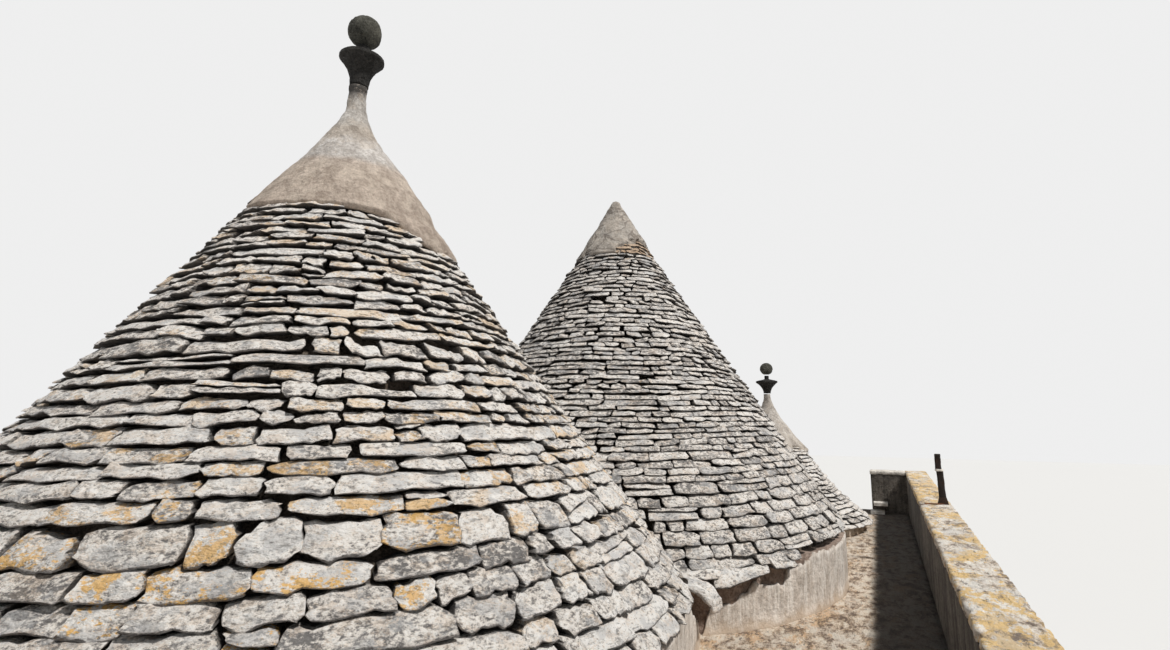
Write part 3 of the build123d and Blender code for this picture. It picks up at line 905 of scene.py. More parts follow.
def lay_stones(cone, beds, low_length, high_length, wander, seed, top_edge, uneven=(1.0, 1.0),
               crowd=0.0, joint=0.004):
    """Corners of every stone as arrays of angles and slants, in the order low left, low right,
    high right, high left. top_edge gives the slant where the mortar of the cap begins. Uneven,
    a number for the low courses and one for the high ones, makes the beds of single stones
    slope, and more of them thin. Crowd makes the stones shorter on the parapet's side, and joint
    is the widest usual half gap between two stones."""
    random = np.random.default_rng(seed)
    angles, slants = [], []
    for low, high in zip(beds[:-1], beds[1:]):
        share = np.clip(low / beds[-1], 0, 1)
        radius = float(np.interp(low, cone.slant, cone.radius))
        length = low_length + (high_length - low_length) * share
        rough = float(np.interp(share, [0.22, 0.42], uneven))
        joints = course_joints(random, 2 * np.pi * radius, length, crowd, PARAPET_SIDE)
        left, right = joints[:-1], joints[1:]
        count = len(left)
        gap = random.uniform(NARROW_JOINT, joint, count)
        gap = gap + WIDE_JOINT * (random.random(count) < WIDE_JOINT_SHARE)
        slant_left = random.normal(0, JOINT_LEAN, count)
        slant_right = np.roll(slant_left, -1)
        corner = np.stack([
            left + (gap + slant_left) / radius,
            right - (gap - slant_right) / radius,
            right - (gap + slant_right) / radius,
            left + (gap - slant_left) / radius,
        ], -1)
        lows = bed_line(corner[:, :2], low, wander, seed)
        highs = bed_line(corner[:, 2:], high, wander, seed)
        level = np.concatenate([lows, highs], -1)
        tall = high - low
        level[:, :2] += tall * rough * random.uniform(-0.03, 0.09, (count, 2))
        level[:, 2:] += UNDER_LAP - tall * rough * random.uniform(0.0, 0.08, (count, 2))
        short = random.random((count, 2)) < THIN_SHARE * rough
        level[:, 2:] -= short * tall * random.uniform(0.12, 0.34, (count, 2))
        split = (random.random(count) < SPLIT_SHARE) & (tall > SPLIT_TALLER)
        cut = random.uniform(0.3, 0.7, (count, 2))
        across_left = level[:, 0] + (level[:, 3] - level[:, 0]) * cut[:, 0]
        across_right = level[:, 1] + (level[:, 2] - level[:, 1]) * cut[:, 1]
        lower = level.copy()
        lower[split, 2] = across_right[split] + SPLIT_GAP
        lower[split, 3] = across_left[split] + SPLIT_GAP
        upper = level[split].copy()
        upper[:, 0] = across_left[split]
        upper[:, 1] = across_right[split]
        angles += [corner, corner[split]]
        slants += [lower, upper]
    angles = np.concatenate(angles)
    slants = np.concatenate(slants)
    slants = np.minimum(slants, top_edge(angles) + UNDER_MORTAR)
    tall_enough = (slants[:, 2:] - slants[:, 1::-1]).min(-1) > THINNEST
    return angles[tall_enough], slants[tall_enough]


def bed_line(angle, slant, wander, seed):
    """A bed that wanders up and down slowly, much like the bed below it."""
    ring = unit_ring(angle, slant * 0.9) * 1.3
    return slant + wander * waves(ring, 1.9, seed + 5) + 0.3 * wander * waves(ring, 0.7, seed + 6)


print("lap under the next course", UNDER_LAP)

# %% [markdown]
# ## The shape of one stone
# A slab was split by hand, so its face is a little hollow or crowned, its corners are broken off
# and its bed edges wander. All the stones of a cone are shaped at once: the same small grid is
# set into each stone's four corners, and random fields move it. The side quads run level into
# the wall and a single face closes the back, so every stone is a closed piece of stone.


# %% Shape the stones
COLUMNS = np.array([-1.0, -0.955, -0.55, -0.18, 0.18, 0.55, 0.955, 1.0])
ROWS = np.array([-1.0, -0.86, -0.20, 0.50, 1.0])
FINE_COLUMNS = np.array([-1.0, -0.965, -0.72, -0.44, -0.15, 0.15, 0.44, 0.72, 0.965, 1.0])
FINE_ROWS = np.array([-1.0, -0.88, -0.44, 0.08, 0.60, 1.0])
BED_WANDER = [(0.15, 0.0036, 1), (0.05, 0.0040, 5)]
FACE_DENTS = [(0.16, 3), (0.05, 4)]
CROWN = 0.002
WORN_EDGE = 0.004
# The sides and back get the highest rim, which the shader paints black as the shadow in the joints.
SIDE_SHADE_RIM = 1.5


def stone_patch(columns, rows):
    """Indices of one stone: front quads, the loop of points round their edge, side quads along
    that loop, and one back face."""
    across, up = len(columns), len(rows)
    index = np.arange(across * up).reshape(up, across)
    front = np.stack([index[:-1, :-1], index[:-1, 1:], index[1:, 1:], index[1:, :-1]], -1)
    loop = np.concatenate([index[0, :-1], index[:-1, -1], index[-1, :0:-1], index[:0:-1, 0]])
    back = across * up + np.arange(len(loop))
    following = np.roll(np.arange(len(loop)), -1)
    sides = np.stack([loop, back, back[following], loop[following]], -1)
    return front.reshape(-1, 4), loop, sides, back[::-1][None, :]


def shape_stones(cone, angles, slants, seed, proud=0.009, sunk=0.013, dent=0.005, depth=0.13,
                 columns=COLUMNS, rows=ROWS):
    """Points, faces and values of all stones. In words: a grid point (p, q) of a stone is pulled
    in near the corners, set between the four corners of the stone, moved a little by the random
    field, and lifted from proud at the lower edge to sunk at the upper one, with a crown."""
    random = np.random.default_rng(seed)
    count = len(angles)
    p, q = (grid.ravel()[None, :] for grid in np.meshgrid(columns, rows))
    radius = np.interp(slants[:, 0], cone.slant, cone.radius)
    long = np.ptp(angles, axis=1) * radius
    tall = np.ptp(slants, axis=1)
    corner = random.uniform(0.0, 1.0, (count, 4)) ** 2.4
    weights = np.stack([(1 - p) * (1 - q), (1 + p) * (1 - q), (1 + p) * (1 + q),
                        (1 - p) * (1 + q)], -1) / 4
    roundness = (corner[:, None, :] * weights).sum(-1)
    pull = np.minimum(0.5, 0.8 * tall / np.maximum(long, 0.05))[:, None]
    x = p * (1 - pull * (0.02 + 0.70 * roundness) * np.abs(q) ** 3)
    y = q * (1 - (0.01 + 0.40 * roundness) * np.abs(p) ** 8)
    s, t = (x + 1) / 2, (y + 1) / 2
    share = np.stack([(1 - s) * (1 - t), s * (1 - t), s * t, (1 - s) * t], -1)
    angle = (share * angles[:, None, :]).sum(-1)
    slant = (share * slants[:, None, :]).sum(-1)
    base = cone.surface(angle, slant)
    own = random.uniform(-50, 50, (count, 1, 3))
    on_edge = (np.abs(p) > 0.99) | (np.abs(q) > 0.99)
    wide = np.clip(tall / 0.1, 0.5, 1.4)[:, None]
    for wavelength, size, turn in BED_WANDER:
        slant = slant + size * wide * waves(base + own, wavelength, seed + turn)
    angle = angle + 0.006 * waves(base + own, 0.05, seed + 2) / radius[:, None]
    lift = (proud + sunk) * (1 - q) / 2 - sunk - 0.009
    lift = lift + random.normal(0, 0.005, (count, 1)) + random.normal(0, 0.006, (count, 1)) * p
    lift = lift + CROWN * wide * (1 - p**4) * (1 - q**4)
    for wavelength, turn in FACE_DENTS:
        lift = lift + 0.5 * dent * waves(base + own, wavelength, seed + turn)
    lift = lift - WORN_EDGE * wide * on_edge
    front = cone.surface(angle, slant, lift)
    faces, loop, sides, back = stone_patch(columns, rows)
    edge_angle = angle[:, loop]
    outward = unit_ring(edge_angle)
    run = depth * random.uniform(0.8, 1.05, (count, 1, 1))
    centre = front.mean(1, keepdims=True)
    behind = front[:, loop] - outward * run
    behind = behind + (centre - outward.mean(1, keepdims=True) * run - behind) * 0.06
    points = np.concatenate([front, behind], 1)
    per_stone = points.shape[1]
    offsets = (np.arange(count) * per_stone)[:, None, None]
    all_faces = [np.reshape(some[None] + offsets, (-1, some.shape[1]))
                 for some in (faces, sides, back)]
    tone = np.repeat(np.clip(random.normal(0.52, 0.17, count), 0, 1), per_stone)
    warm = np.repeat(random.random(count), per_stone)
    # rim is 1 at the lower edge and fades up the face, 0.5 at the ends, and highest on the sides
    # and back: the shader paints shade and black lichen along it.
    lower_edge_shade = np.interp(q, [-1.0, -0.88, -0.44, 0.1], [1.0, 0.42, 0.08, 0.0])
    side_edge_shade = 0.5 * (np.abs(p) > 0.99)
    front_shade_rim = np.broadcast_to(np.maximum(lower_edge_shade, side_edge_shade), (count, p.shape[1]))
    rim = np.concatenate([front_shade_rim, np.full((count, len(loop)), SIDE_SHADE_RIM)], 1)
    values = {"tone": tone, "warm": warm, "rim": rim.ravel()}
    return points.reshape(-1, 3), all_faces, values


def angle_between(angle, bearing):
    """Signed difference of two angles, between minus pi and pi."""
    return (angle - bearing + np.pi) % (2 * np.pi) - np.pi


def keep_outside(cone, angles, slants, neighbour, margin):
    """Drops the stones that lie inside the neighbouring cone by more than the margin."""
    centre = cone.surface(angles.mean(1), slants.mean(1))
    keep = neighbour.proud_of(centre) > -margin
    return angles[keep], slants[keep]


def leave_holes(cone, angles, slants, holes):
    """Leaves out the stone nearest to each hole, given as (degrees round, slant)."""
    keep = np.ones(len(angles), bool)
    for turn, slant in holes:
        radius = np.interp(slant, cone.slant, cone.radius)
        around = angle_between(angles.mean(1), math.radians(turn)) * radius
        keep[np.argmin(np.hypot(around, slants.mean(1) - slant))] = False
    return angles[keep], slants[keep]


patch_front, _, patch_sides, _ = stone_patch(COLUMNS, ROWS)
print("faces per stone", len(patch_front) + len(patch_sides) + 1)

# %% [markdown]
# ## The stones of each cone
# The three roofs are of one kind of stone, but not of one hand: the near one has taller courses
# and ochre lichen, the middle one lower courses with more missing stones, and the far one small
# stones. Heights of courses, lengths of stones and gaps are given for each. The middle roof is
# made in two pieces, because a piece should stay moderate in size.


# %% Stones of the near cone
def by_bearing(table, angle):
    """Value at an angle, from a table of (degrees round, value) pairs."""
    turned, values = np.array(table).T
    return np.interp(np.degrees(angle_between(angle, 0.0)), turned, values)


def ragged(angle, level, rough, seed, swing=0.0, bearing=0.0):
    """A level that may swing once round the axis, with a ragged edge on top."""
    ring = unit_ring(angle)
    fine = 0.6 * rough * waves(ring, 0.09, seed + 7)
    return level + swing * np.cos(angle - bearing) + rough * waves(ring, 0.35, seed) + fine


NEAR_CAP_EDGE = [(-180, 2.865), (-130, 2.853), (-100, 2.805), (-65, 2.778), (-45, 2.798),
                 (-31, 2.728), (-16, 2.690), (-5, 2.577), (16, 2.503), (60, 2.523), (110, 2.623),
                 (150, 2.790), (180, 2.865)]


def near_cap_edge(angle):
    """Slant where the near cap's mortar begins: low on the parapet's side, high on the other."""
    return ragged(angle, by_bearing(NEAR_CAP_EDGE, angle), 0.012, 71)


near_beds = course_beds([-0.004, 0.100, 0.200, 0.307, 0.433, 0.540, 0.645], 0.098, 0.060,
                        near.seat_slant + 0.25, [(0.60, 0.70, 0.165), (1.58, 1.66, 0.110)], 11)
angles, slants = lay_stones(near, near_beds, 0.32, 0.20, 0.012, 21, near_cap_edge, (1.1, 1.6),
                            0.30, 0.007)
angles, slants = keep_outside(near, angles, slants, middle, 0.10)
points, faces, values = shape_stones(near, angles, slants, 31, dent=0.006,
                                     columns=FINE_COLUMNS, rows=FINE_ROWS)
new_piece("near_roof_stones", points, faces, near_stone, ["near_roof_slabs"],
          values, 0)
print("near courses", len(near_beds) - 1, "stones", len(angles))


# %% Stones of the middle cone
MIDDLE_CAP_EDGE = [(-180, 0.07), (-110, 0.02), (-76, -0.01), (-70, 0.00), (-66, 0.07), (-50, 0.10),
                   (-36, 0.16), (-12, 0.19), (10, 0.15), (24, 0.05), (70, 0.0), (180, 0.07)]


def middle_cap_edge(angle):
    """Slant where the middle cap's mortar begins. A piece has broken off beside the parapet."""
    return ragged(angle, middle.seat_slant + by_bearing(MIDDLE_CAP_EDGE, angle), 0.014, 72)


def bared(cone, points):
    """1 for the points of stones that the broken cap has bared, which are still brown."""
    away = points[:, :2] - cone.centre
    turned = np.degrees(np.arctan2(away[:, 1], away[:, 0]))
    high = points[:, 2] > cone.seat_height - 0.03
    return high & (turned > -70) & (turned < 30)


MIDDLE_FIRST = [-0.015, 0.070, 0.165, 0.280, 0.380, 0.480, 0.580, 0.690, 0.755, 0.820, 0.887,
                0.970]
MISSING_EAVE = (-29.0, 60)
MIDDLE_HOLES = [(-80, 2.747), (-55, 1.746)]
SPLIT_SLANT = 1.60
MIDDLE_DARKER = 0.15

middle_beds = course_beds(MIDDLE_FIRST, 0.060, 0.053, middle.seat_slant + 0.2, [], 12)
angles, slants = lay_stones(middle, middle_beds, 0.28, 0.13, 0.010, 22, middle_cap_edge,
                            (0.7, 1.7), 0.15, 0.009)
angles, slants = keep_outside(middle, angles, slants, near, 0.10)
angles, slants = leave_holes(middle, angles, slants, MIDDLE_HOLES)
turned = np.degrees(angle_between(angles.mean(1), 0.0))
turned_end = np.degrees(angle_between(angles.max(1), 0.0))
gone = (turned_end > MISSING_EAVE[0]) & (turned < MISSING_EAVE[1]) & (slants.mean(1) < 0.06)
angles, slants = angles[~gone], slants[~gone]
for part, low, seed, replaced in (("", True, 32, ["middle_roof_slabs"]),
                                  ("_upper", False, 34, ())):
    chosen = (slants[:, 0] < SPLIT_SLANT) == low
    points, faces, values = shape_stones(middle, angles[chosen], slants[chosen], seed, 0.007, 0.009,
                                         0.0035)
    values["warm"] += 2.0 * bared(middle, points)
    values["tone"] -= MIDDLE_DARKER
    new_piece("middle_roof_stones" + part, points, faces, middle_stone, replaced,
              values, 1)
print("middle courses", len(middle_beds) - 1, "stones", len(angles))


# %% Stones of the far cone
def far_cap_edge(angle):
    """Slant where the far cap's mortar begins."""
    return ragged(angle, far.seat_slant, 0.02, 73, 0.03, math.radians(-60))


far_beds = course_beds([-0.100, -0.025], 0.075, 0.052, far.seat_slant + 0.15, [], 13)
angles, slants = lay_stones(far, far_beds, 0.24, 0.17, 0.008, 23, far_cap_edge, (1.6, 1.9), 0.0,
                            0.008)
angles, slants = keep_outside(far, angles, slants, middle, 0.06)
points, faces, values = shape_stones(far, angles, slants, 33, dent=0.0025, depth=0.11)
new_piece("far_roof_stones", points, faces, far_stone, ["far_roof_slabs"],
          values, 1)
print("far courses", len(far_beds) - 1, "stones", len(angles))

# %% [markdown]
# ## Caps and pinnacles
# Each cone ends in a cap of lime mortar, smoothed by hand over the last courses, so its lower edge
# runs where the mason stopped. Two of the caps carry a stone cup and a ball. Their outlines are
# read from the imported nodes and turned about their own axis, which leans on the near cone.
#
# A turned shape alone looks like it came from a lathe. So the surface wanders by a few millimetres,
# in a broad wave for the hand and a small one for the grain, and the lower edge is ragged.


# %% Turned surfaces
RING_STEP = 0.002


def outline_of(node, base, axis):
    """Distance from the axis against the distance along it, for a turned CAD node. Its vertices
    lie on rings, so one pair of numbers a ring is enough, and the largest radius is kept."""
    away = vertices(node) - base
    along = away @ axis
    across = np.linalg.norm(away - along[:, None] * axis, axis=1)
    level = (along / RING_STEP).round()
    steps = np.unique(level)
    radii = np.array([across[level == one].max() for one in steps])
    return steps * RING_STEP, radii


def ring_rows(base, axis, along, radius, columns):
    """Rings of points round an axis: base + along * axis + radius * (cos e1 + sin e2)."""
    first = np.array([1.0, 0, 0]) - axis[0] * axis
    first /= np.linalg.norm(first)
    second = np.cross(axis, first)
    angle = ring_angles(columns)
    out = np.cos(angle)[:, None] * first + np.sin(angle)[:, None] * second
    rings = base + along[:, None, None] * axis + radius[:, None, None] * out
    return rings, np.broadcast_to(out, rings.shape)


def grid_faces(rows, columns, closed=True, start=0):
    """Quads of a grid. Rows go up and columns go round anticlockwise, so faces look out."""
    index = np.arange(rows * columns).reshape(rows, columns) + start
    left, right = index, np.roll(index, -1, axis=1)
    if not closed:
        left, right = left[:, :-1], right[:, :-1]
    return np.stack([left[:-1], right[:-1], right[1:], left[1:]], -1).reshape(-1, 4)


def roughened(points, directions, amounts, seed, bias=0.0, limit=0.012):
    """Moves points along directions by random fields, given as (wavelength, size) pairs, and no
    further out than the limit."""
    move = bias + 0 * points[..., 0]
    for turn, (wavelength, size) in enumerate(amounts):
        move = move + size * waves(points, wavelength, seed + turn)
    return points + directions * np.minimum(move, limit)[..., None]


def closed_rings(rings):
    """Points and faces of stacked rings with a pole at each end."""
    rows, columns = rings.shape[:2]
    poles = np.stack([rings[0].mean(0), rings[-1].mean(0)])
    points = np.concatenate([rings.reshape(-1, 3), poles])
    around = np.arange(columns)
    after = np.roll(around, -1)
    low = np.stack([after, around, np.full(columns, rows * columns)], -1)
    top = (rows - 1) * columns
    high = np.stack([top + around, top + after, np.full(columns, rows * columns + 1)], -1)
    return points, [grid_faces(rows, columns), low, high]


def axis_of(cone, ball=None):
    """Foot and direction of a cap's axis: through the ball where there is one."""
    base = np.array([*cone.centre, cone.seat_height])
    if ball is None:
        return base, np.array([0.0, 0.0, 1.0])
    low, high = corners_of(ball)
    way = (low + high) / 2 - base
    return base, way / np.linalg.norm(way)


near_base, near_axis = axis_of(near, "near_ball")
middle_base, middle_axis = axis_of(middle)
far_base, far_axis = axis_of(far)
print("near axis leans", round(math.degrees(math.acos(near_axis[2])), 2), "degrees")


# %% Mortar caps
MORTAR_PROUD = 0.016
BROKEN_SUNK = 0.040
TUCKED_IN = 0.040
FOOT_BLEND = 0.30
NECK_START, NECK_END = 0.62, 1.02
NECK_SLIMMER = 0.10


def cap_piece(name, cone, base, axis, edge, columns, material, seed, rough=1.0, swell=0.0,
              bearing=0.0):
    """Mortar from the tip down the turned outline, then down the cone to its ragged edge, where
    it dips between the stones. The rows of the cone part run from the edge up to the seat at
    each angle, and the lowest turned rows bend over to meet them. Where the edge lies above
    the seat, the mortar has broken off and is sunk. A swell is a belly on one side, with a
    slimmer neck above it."""
    along, radius = outline_of(name + "_cap", base, axis)
    rows = np.concatenate([np.linspace(0.03, along[-1] - 0.02, 46), [along[-1]]])
    rings, out = ring_rows(base, axis, rows, np.interp(rows, along, radius), columns)
    angle = ring_angles(columns)
    seat = cone.seat_slant
    seated = cone.surface(angle, np.full(columns, seat), MORTAR_PROUD)
    foot, _ = ring_rows(base, axis, np.zeros(1), np.interp([0.0], along, radius), columns)
    fade = np.clip((FOOT_BLEND - rows) / FOOT_BLEND, 0, 1)[:, None, None] ** 2
    belly = np.clip(np.cos(angle - bearing), 0, 1) * swell
    hump = np.clip(rows / 0.12, 0, 1) * np.clip((NECK_START - rows) / 0.30, 0, 1)
    rings = rings + (seated - foot[0]) * fade + out * (belly * hump[:, None])[..., None]
    slim = NECK_SLIMMER * np.clip((rows - NECK_START) / 0.2, 0, 1)
    slim = 1 - slim * np.clip((NECK_END - rows) / 0.06, 0, 1)
    centre_line = base + rows[:, None, None] * axis
    rings = centre_line + (rings - centre_line) * (slim[:, None, None] if swell else 1)
    broken = edge(angle) - seat
    sunk = BROKEN_SUNK * np.clip((broken - rows[:, None]) / 0.02, 0, 1)
    rings = rings - out * sunk[..., None]
    share = np.linspace(1, 0, 16)[:, None]
    lowest = np.minimum(edge(angle), seat - 0.03)
    slant = seat + (lowest - seat)[None, :] * share
    thickness = MORTAR_PROUD - TUCKED_IN * share ** 9 - BROKEN_SUNK * (broken > 0.03)
    skirt = cone.surface(np.broadcast_to(angle, slant.shape), slant, thickness)
    skirt_out = np.broadcast_to(unit_ring(angle), skirt.shape)
    points = np.concatenate([skirt, rings])
    directions = np.concatenate([skirt_out, out])
    sizes = [(0.45, 0.004 * rough), (0.12, 0.0024 * rough), (0.04, 0.0014 * rough)]
    points = roughened(points, directions, sizes, seed, -0.003)
    total = len(points)
    pole = points[-1].mean(0)
    faces = [grid_faces(total, columns)]
    around = np.arange(columns) + (total - 1) * columns
    faces.append(np.stack([around, np.roll(around, -1), np.full(columns, total * columns)], -1))
    points = np.concatenate([points.reshape(-1, 3), pole[None]])
    cap = new_piece(name + "_cap_mortar", points, faces, material, [name + "_cap"])
    thicken(cap, 0.035)


cap_piece("near", near, near_base, near_axis, near_cap_edge, 176, near_cap_lime, 201, 1.0, 0.055,
          math.radians(15))
cap_piece("middle", middle, middle_base, middle_axis, middle_cap_edge, 128, middle_cap_lime, 211,
          1.3)
cap_piece("far", far, far_base, far_axis, far_cap_edge, 96, far_cap_lime, 221)

# %% [markdown]
# ## Cups and balls
# A pinnacle is a cup cut from one stone with a ball set in it, both dark with lichen; the cup is
# painted darker still, as painted shade. They could be turned with even rows, but the rim of the
# cup would round off, so the rows follow the length of the outline and crowd at its sharp bends.
# Every point moves inwards only.


# %% Turned stones
BEND_GAP = 0.0015


def rough_turned(node, base, axis, rows, columns, seed, amounts, bias, material):
    """Closed turned piece over the outline of a CAD node. Its rows are even along the outline,
    with three more at each sharp bend, so that a rim stays crisp."""
    along, radius = outline_of(node, base, axis)
    length = np.concatenate([[0], np.cumsum(np.hypot(np.diff(along), np.diff(radius)))])
    way = np.unwrap(np.arctan2(np.diff(radius), np.diff(along)))
    sharp = length[1:-1][np.abs(np.diff(way)) > 0.5]
    at = np.linspace(0, length[-1], rows + 2)[1:-1]
    at = np.sort(np.concatenate([at, sharp, sharp - BEND_GAP, sharp + BEND_GAP]))
    at = np.clip(at, 0.0005, length[-1] - 0.0005)
    rings, _ = ring_rows(base, axis, np.interp(at, length, along),
                         np.interp(at, length, radius), columns)
    direction = unit(rings - rings.reshape(-1, 3).mean(0))
    points, faces = closed_rings(roughened(rings, direction, amounts, seed, bias, 0.0))
    new_piece(node + "_stone", points, faces, material, [node])


CUP_ROUGHNESS = [(0.16, 0.0018), (0.05, 0.0011), (0.02, 0.0006)]
BALL_ROUGHNESS = [(0.20, 0.0030), (0.06, 0.0015), (0.02, 0.0008)]
rough_turned("near_cup", near_base, near_axis, 60, 96, 231, CUP_ROUGHNESS, -0.002, cup_stone)
rough_turned("near_ball", near_base, near_axis, 56, 96, 241, BALL_ROUGHNESS, -0.003, ball_stone)
rough_turned("far_cup", far_base, far_axis, 40, 72, 251, CUP_ROUGHNESS, -0.002, cup_stone)
rough_turned("far_ball", far_base, far_axis, 40, 72, 261, BALL_ROUGHNESS, -0.003, ball_stone)

# %% [markdown]
# ## Drums
# Under the eaves each cone stands on a low round wall. Its brown core shows in a ragged band
# below the eave stones, because the plaster that covered it has torn off its top edge. Where the
# near and the middle drum meet, a spout stone throws the water out, and the wall below it has
# washed out to a dark hollow that narrows to a point at the terrace.
#
# The core is a ring with a hollow pressed into it, and the plaster is a thin skin in front of it,
# so its broken edge has a real thickness.

# %% Drum cores
SKIN = 0.030
HOLLOW_DEEP = 0.20
HOLLOW_WIDE = 0.060
BEHIND_PLANE = 0.004
OUT_OF_REACH = 9.0


def drum_height(name):
    """Height of a drum above the terrace."""
    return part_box(name + "_drum")[1].z - TERRACE


def drum_facts(cone, node, other):
    """Outer radius, inner radius, and the distance and bearing of the plane shared with the
    other drum, all measured on the CAD node. The plane is the flat part that faces the other."""
    points = vertices(node)
    away = points[:, :2] - cone.centre
    radii = np.hypot(*away.T)
    way = other.centre - cone.centre
    bearing = math.atan2(way[1], way[0])
    outer = radii.max()
    inner = radii.min()
    reach = (away @ np.array([math.cos(bearing), math.sin(bearing)])).max()
    return outer, inner, reach, bearing


def drum_core(name, cone, other, seed, hollow_side):
    """Ring wall: outer rows up, inner rows down, closed both ways. The outer radius is the
    smaller of the drum's own and the distance to the shared plane, less a wandering roughness
    and, beside the valley, a hollow that fades out towards the terrace."""
    outer, inner, reach, bearing = drum_facts(cone, name + "_drum", other)
    columns = 300
    angle = ring_angles(columns)
    turn = angle_between(angle, bearing)
    facing = np.abs(turn) < 1.2
    plane = (reach - BEHIND_PLANE) / np.cos(np.where(facing, turn, 0))
    plane = np.where(facing, plane, OUT_OF_REACH)
    corner = bearing + hollow_side * math.acos(min(1.0, reach / outer))
    share = np.linspace(0, 1, 16)[:, None]
    height = TERRACE - 0.02 + share * (drum_height(name) + 0.018)
    ring = round_axis((0, 0), angle, outer, height)
    radius = outer - SKIN + 0.006 * waves(ring, 0.35, seed) + 0.004 * waves(ring, 0.09, seed + 1)
    beside = np.exp(-(angle_between(angle, corner) / HOLLOW_WIDE) ** 2)
    if hollow_side:
        radius = radius - HOLLOW_DEEP * beside[None, :] * np.clip((share - 0.12) / 0.5, 0, 1)
    radius = np.minimum(radius, plane[None, :])
    outside = round_axis(cone.centre, angle, radius, height)
    inside = round_axis(cone.centre, angle, inner, height[::-5])
    rings = np.concatenate([outside, inside, outside[:1]])
    points = rings[:-1].reshape(-1, 3)
    faces = grid_faces(len(rings), columns) % len(points)
    new_piece(name + "_drum_core", points, [faces], drum_core_stone,
              [name + "_drum"])
    return outer, corner


near_outer, near_corner = drum_core("near", near, middle, 301, -1)
middle_outer, middle_corner = drum_core("middle", middle, near, 311, 1)
far_outer, _ = drum_core("far", far, middle, 316, 0)
print("valley corner at", round(math.degrees(near_corner), 1), "and",
      round(math.degrees(middle_corner), 1), "degrees")

# %% [markdown]
# ## Plaster of the drums
# The plaster was drawn up the drum in one coat and has torn off along its top edge. Where it is
# torn is the most visible thing about a drum, so the edge follows a table of angles and heights
# on the side that the photograph shows, with small random teeth, and stays level elsewhere.


# %% Plaster skins
BEHIND_DRUM = 0.007
FOOT_SWELL = 0.012
FOOT_HEIGHT = 0.035


def plaster_skin(name, cone, radius, bottom, first, last, top, columns, rows, seed, line=None):
    """Sheet of plaster between two angles, from the terrace to a torn edge. In words: the height
    of a point is its row's share of the edge height at its angle. A line, given as a bearing and
    a distance, carries the sheet straight on from where it touches the drum."""
    angle = np.radians(np.linspace(first, last, columns))
    if line:
        turn = np.clip(angle - math.radians(line[0]), 0, 1.2)
        radius = np.maximum(radius, line[1] / np.cos(turn))
    share = np.linspace(0, 1, rows)[:, None]
    edge = top(np.degrees(angle))
    radius = radius + 0 * angle
    ring = unit_ring(angle) * radius[:, None]
    teeth = 0.010 * waves(ring, 0.25, seed) + 0.007 * waves(ring, 0.07, seed + 1)
    teeth = teeth + 0.004 * waves(ring, 0.03, seed + 2)
    edge = np.maximum(edge + teeth * np.clip(edge / 0.1, 0, 1), 0.012)
    height = bottom + share * (edge + 0.01) - 0.01
    spot = np.stack(np.broadcast_arrays(ring[:, 0], ring[:, 1], height), -1)
    move = 0.0035 * waves(spot, 0.4, seed + 3) + 0.0015 * waves(spot, 0.1, seed + 4)
    out = radius - BEHIND_DRUM + np.minimum(move, 0.006)
    out = out + FOOT_SWELL * np.exp(-((height - bottom) / FOOT_HEIGHT) ** 2)
    points = round_axis(cone.centre, angle, out, height)
    sheet = new_piece(name, points.reshape(-1, 3), [grid_faces(rows, columns, closed=False)],
                      drum_plaster)
    thicken(sheet, 0.020)


def torn_edge(table, rest_height):
    """Height of the plaster's edge: a table of (angle, height) pairs, and level elsewhere."""
    angles, heights = np.array(table).T

    def height(angle):
        inside = (angle >= angles[0]) & (angle <= angles[-1])
        return np.where(inside, np.interp(angle, angles, heights), rest_height)
    return height


NEAR_TEAR = [(-60, 0.53), (-10, 0.525), (15, 0.52), (21, 0.50), (24, 0.46), (27, 0.40),
             (30.5, 0.285), (33.5, 0.235), (35.2, 0.184), (38.6, 0.125), (39.4, 0.070),
             (40.3, 0.045), (41.3, 0.0), (42.4, 0.0)]
MIDDLE_TEAR = [(-62, 0.0), (-52.8, 0.0), (-52.1, 0.052), (-51.4, 0.132), (-50.2, 0.169),
               (-48.2, 0.204), (-44.6, 0.246), (-41.1, 0.323), (-39.2, 0.329), (-38.0, 0.309),
               (-36.0, 0.278), (-33.8, 0.302), (-32.5, 0.391), (-30.3, 0.41), (-27.8, 0.396),
               (-25.3, 0.404), (-23.6, 0.448), (-19.1, 0.462), (-17.0, 0.435), (-14, 0.462),
               (-12.0, 0.425), (-9.0, 0.460), (12, 0.455), (60, 0.45)]
FAR_TEAR = [(-70, 0.18), (-30, 0.18), (-27.5, 0.13), (-26, 0.16), (-24.5, 0.165), (-22, 0.12),
            (-18, 0.125), (-16, 0.165), (-13, 0.10), (-9, 0.07), (-6, 0.16), (20, 0.18), (70, 0.18)]
plaster_skin("near_drum_plaster", near, near_outer, TERRACE, -238.5, 41.4,
             torn_edge(NEAR_TEAR, drum_height("near") - 0.03), 700, 14, 321, (10.6, 2.19))
plaster_skin("middle_drum_plaster", middle, middle_outer, TERRACE, -61.0, 222.5,
             torn_edge(MIDDLE_TEAR, drum_height("middle") - 0.03), 660, 14, 331)
plaster_skin("far_drum_plaster", far, far_outer, TERRACE, -75.0, 250.0,
             torn_edge(FAR_TEAR, drum_height("far") - 0.02), 420, 8, 341)

# %% [markdown]
# ## Spout and the big slabs beside it
# The spout is one curved stone: a tongue that leaves the valley level and bends down at its tip.
# Above it, three large slabs of the middle cone hang lower than the eave to close the corner.


# %% Spout stone
SPOUT_BEARING = math.radians(-9.2)
SPOUT_BEND = 0.152
SPOUT_HALF_WIDE = 0.122
SPOUT_HALF_THICK = 0.036


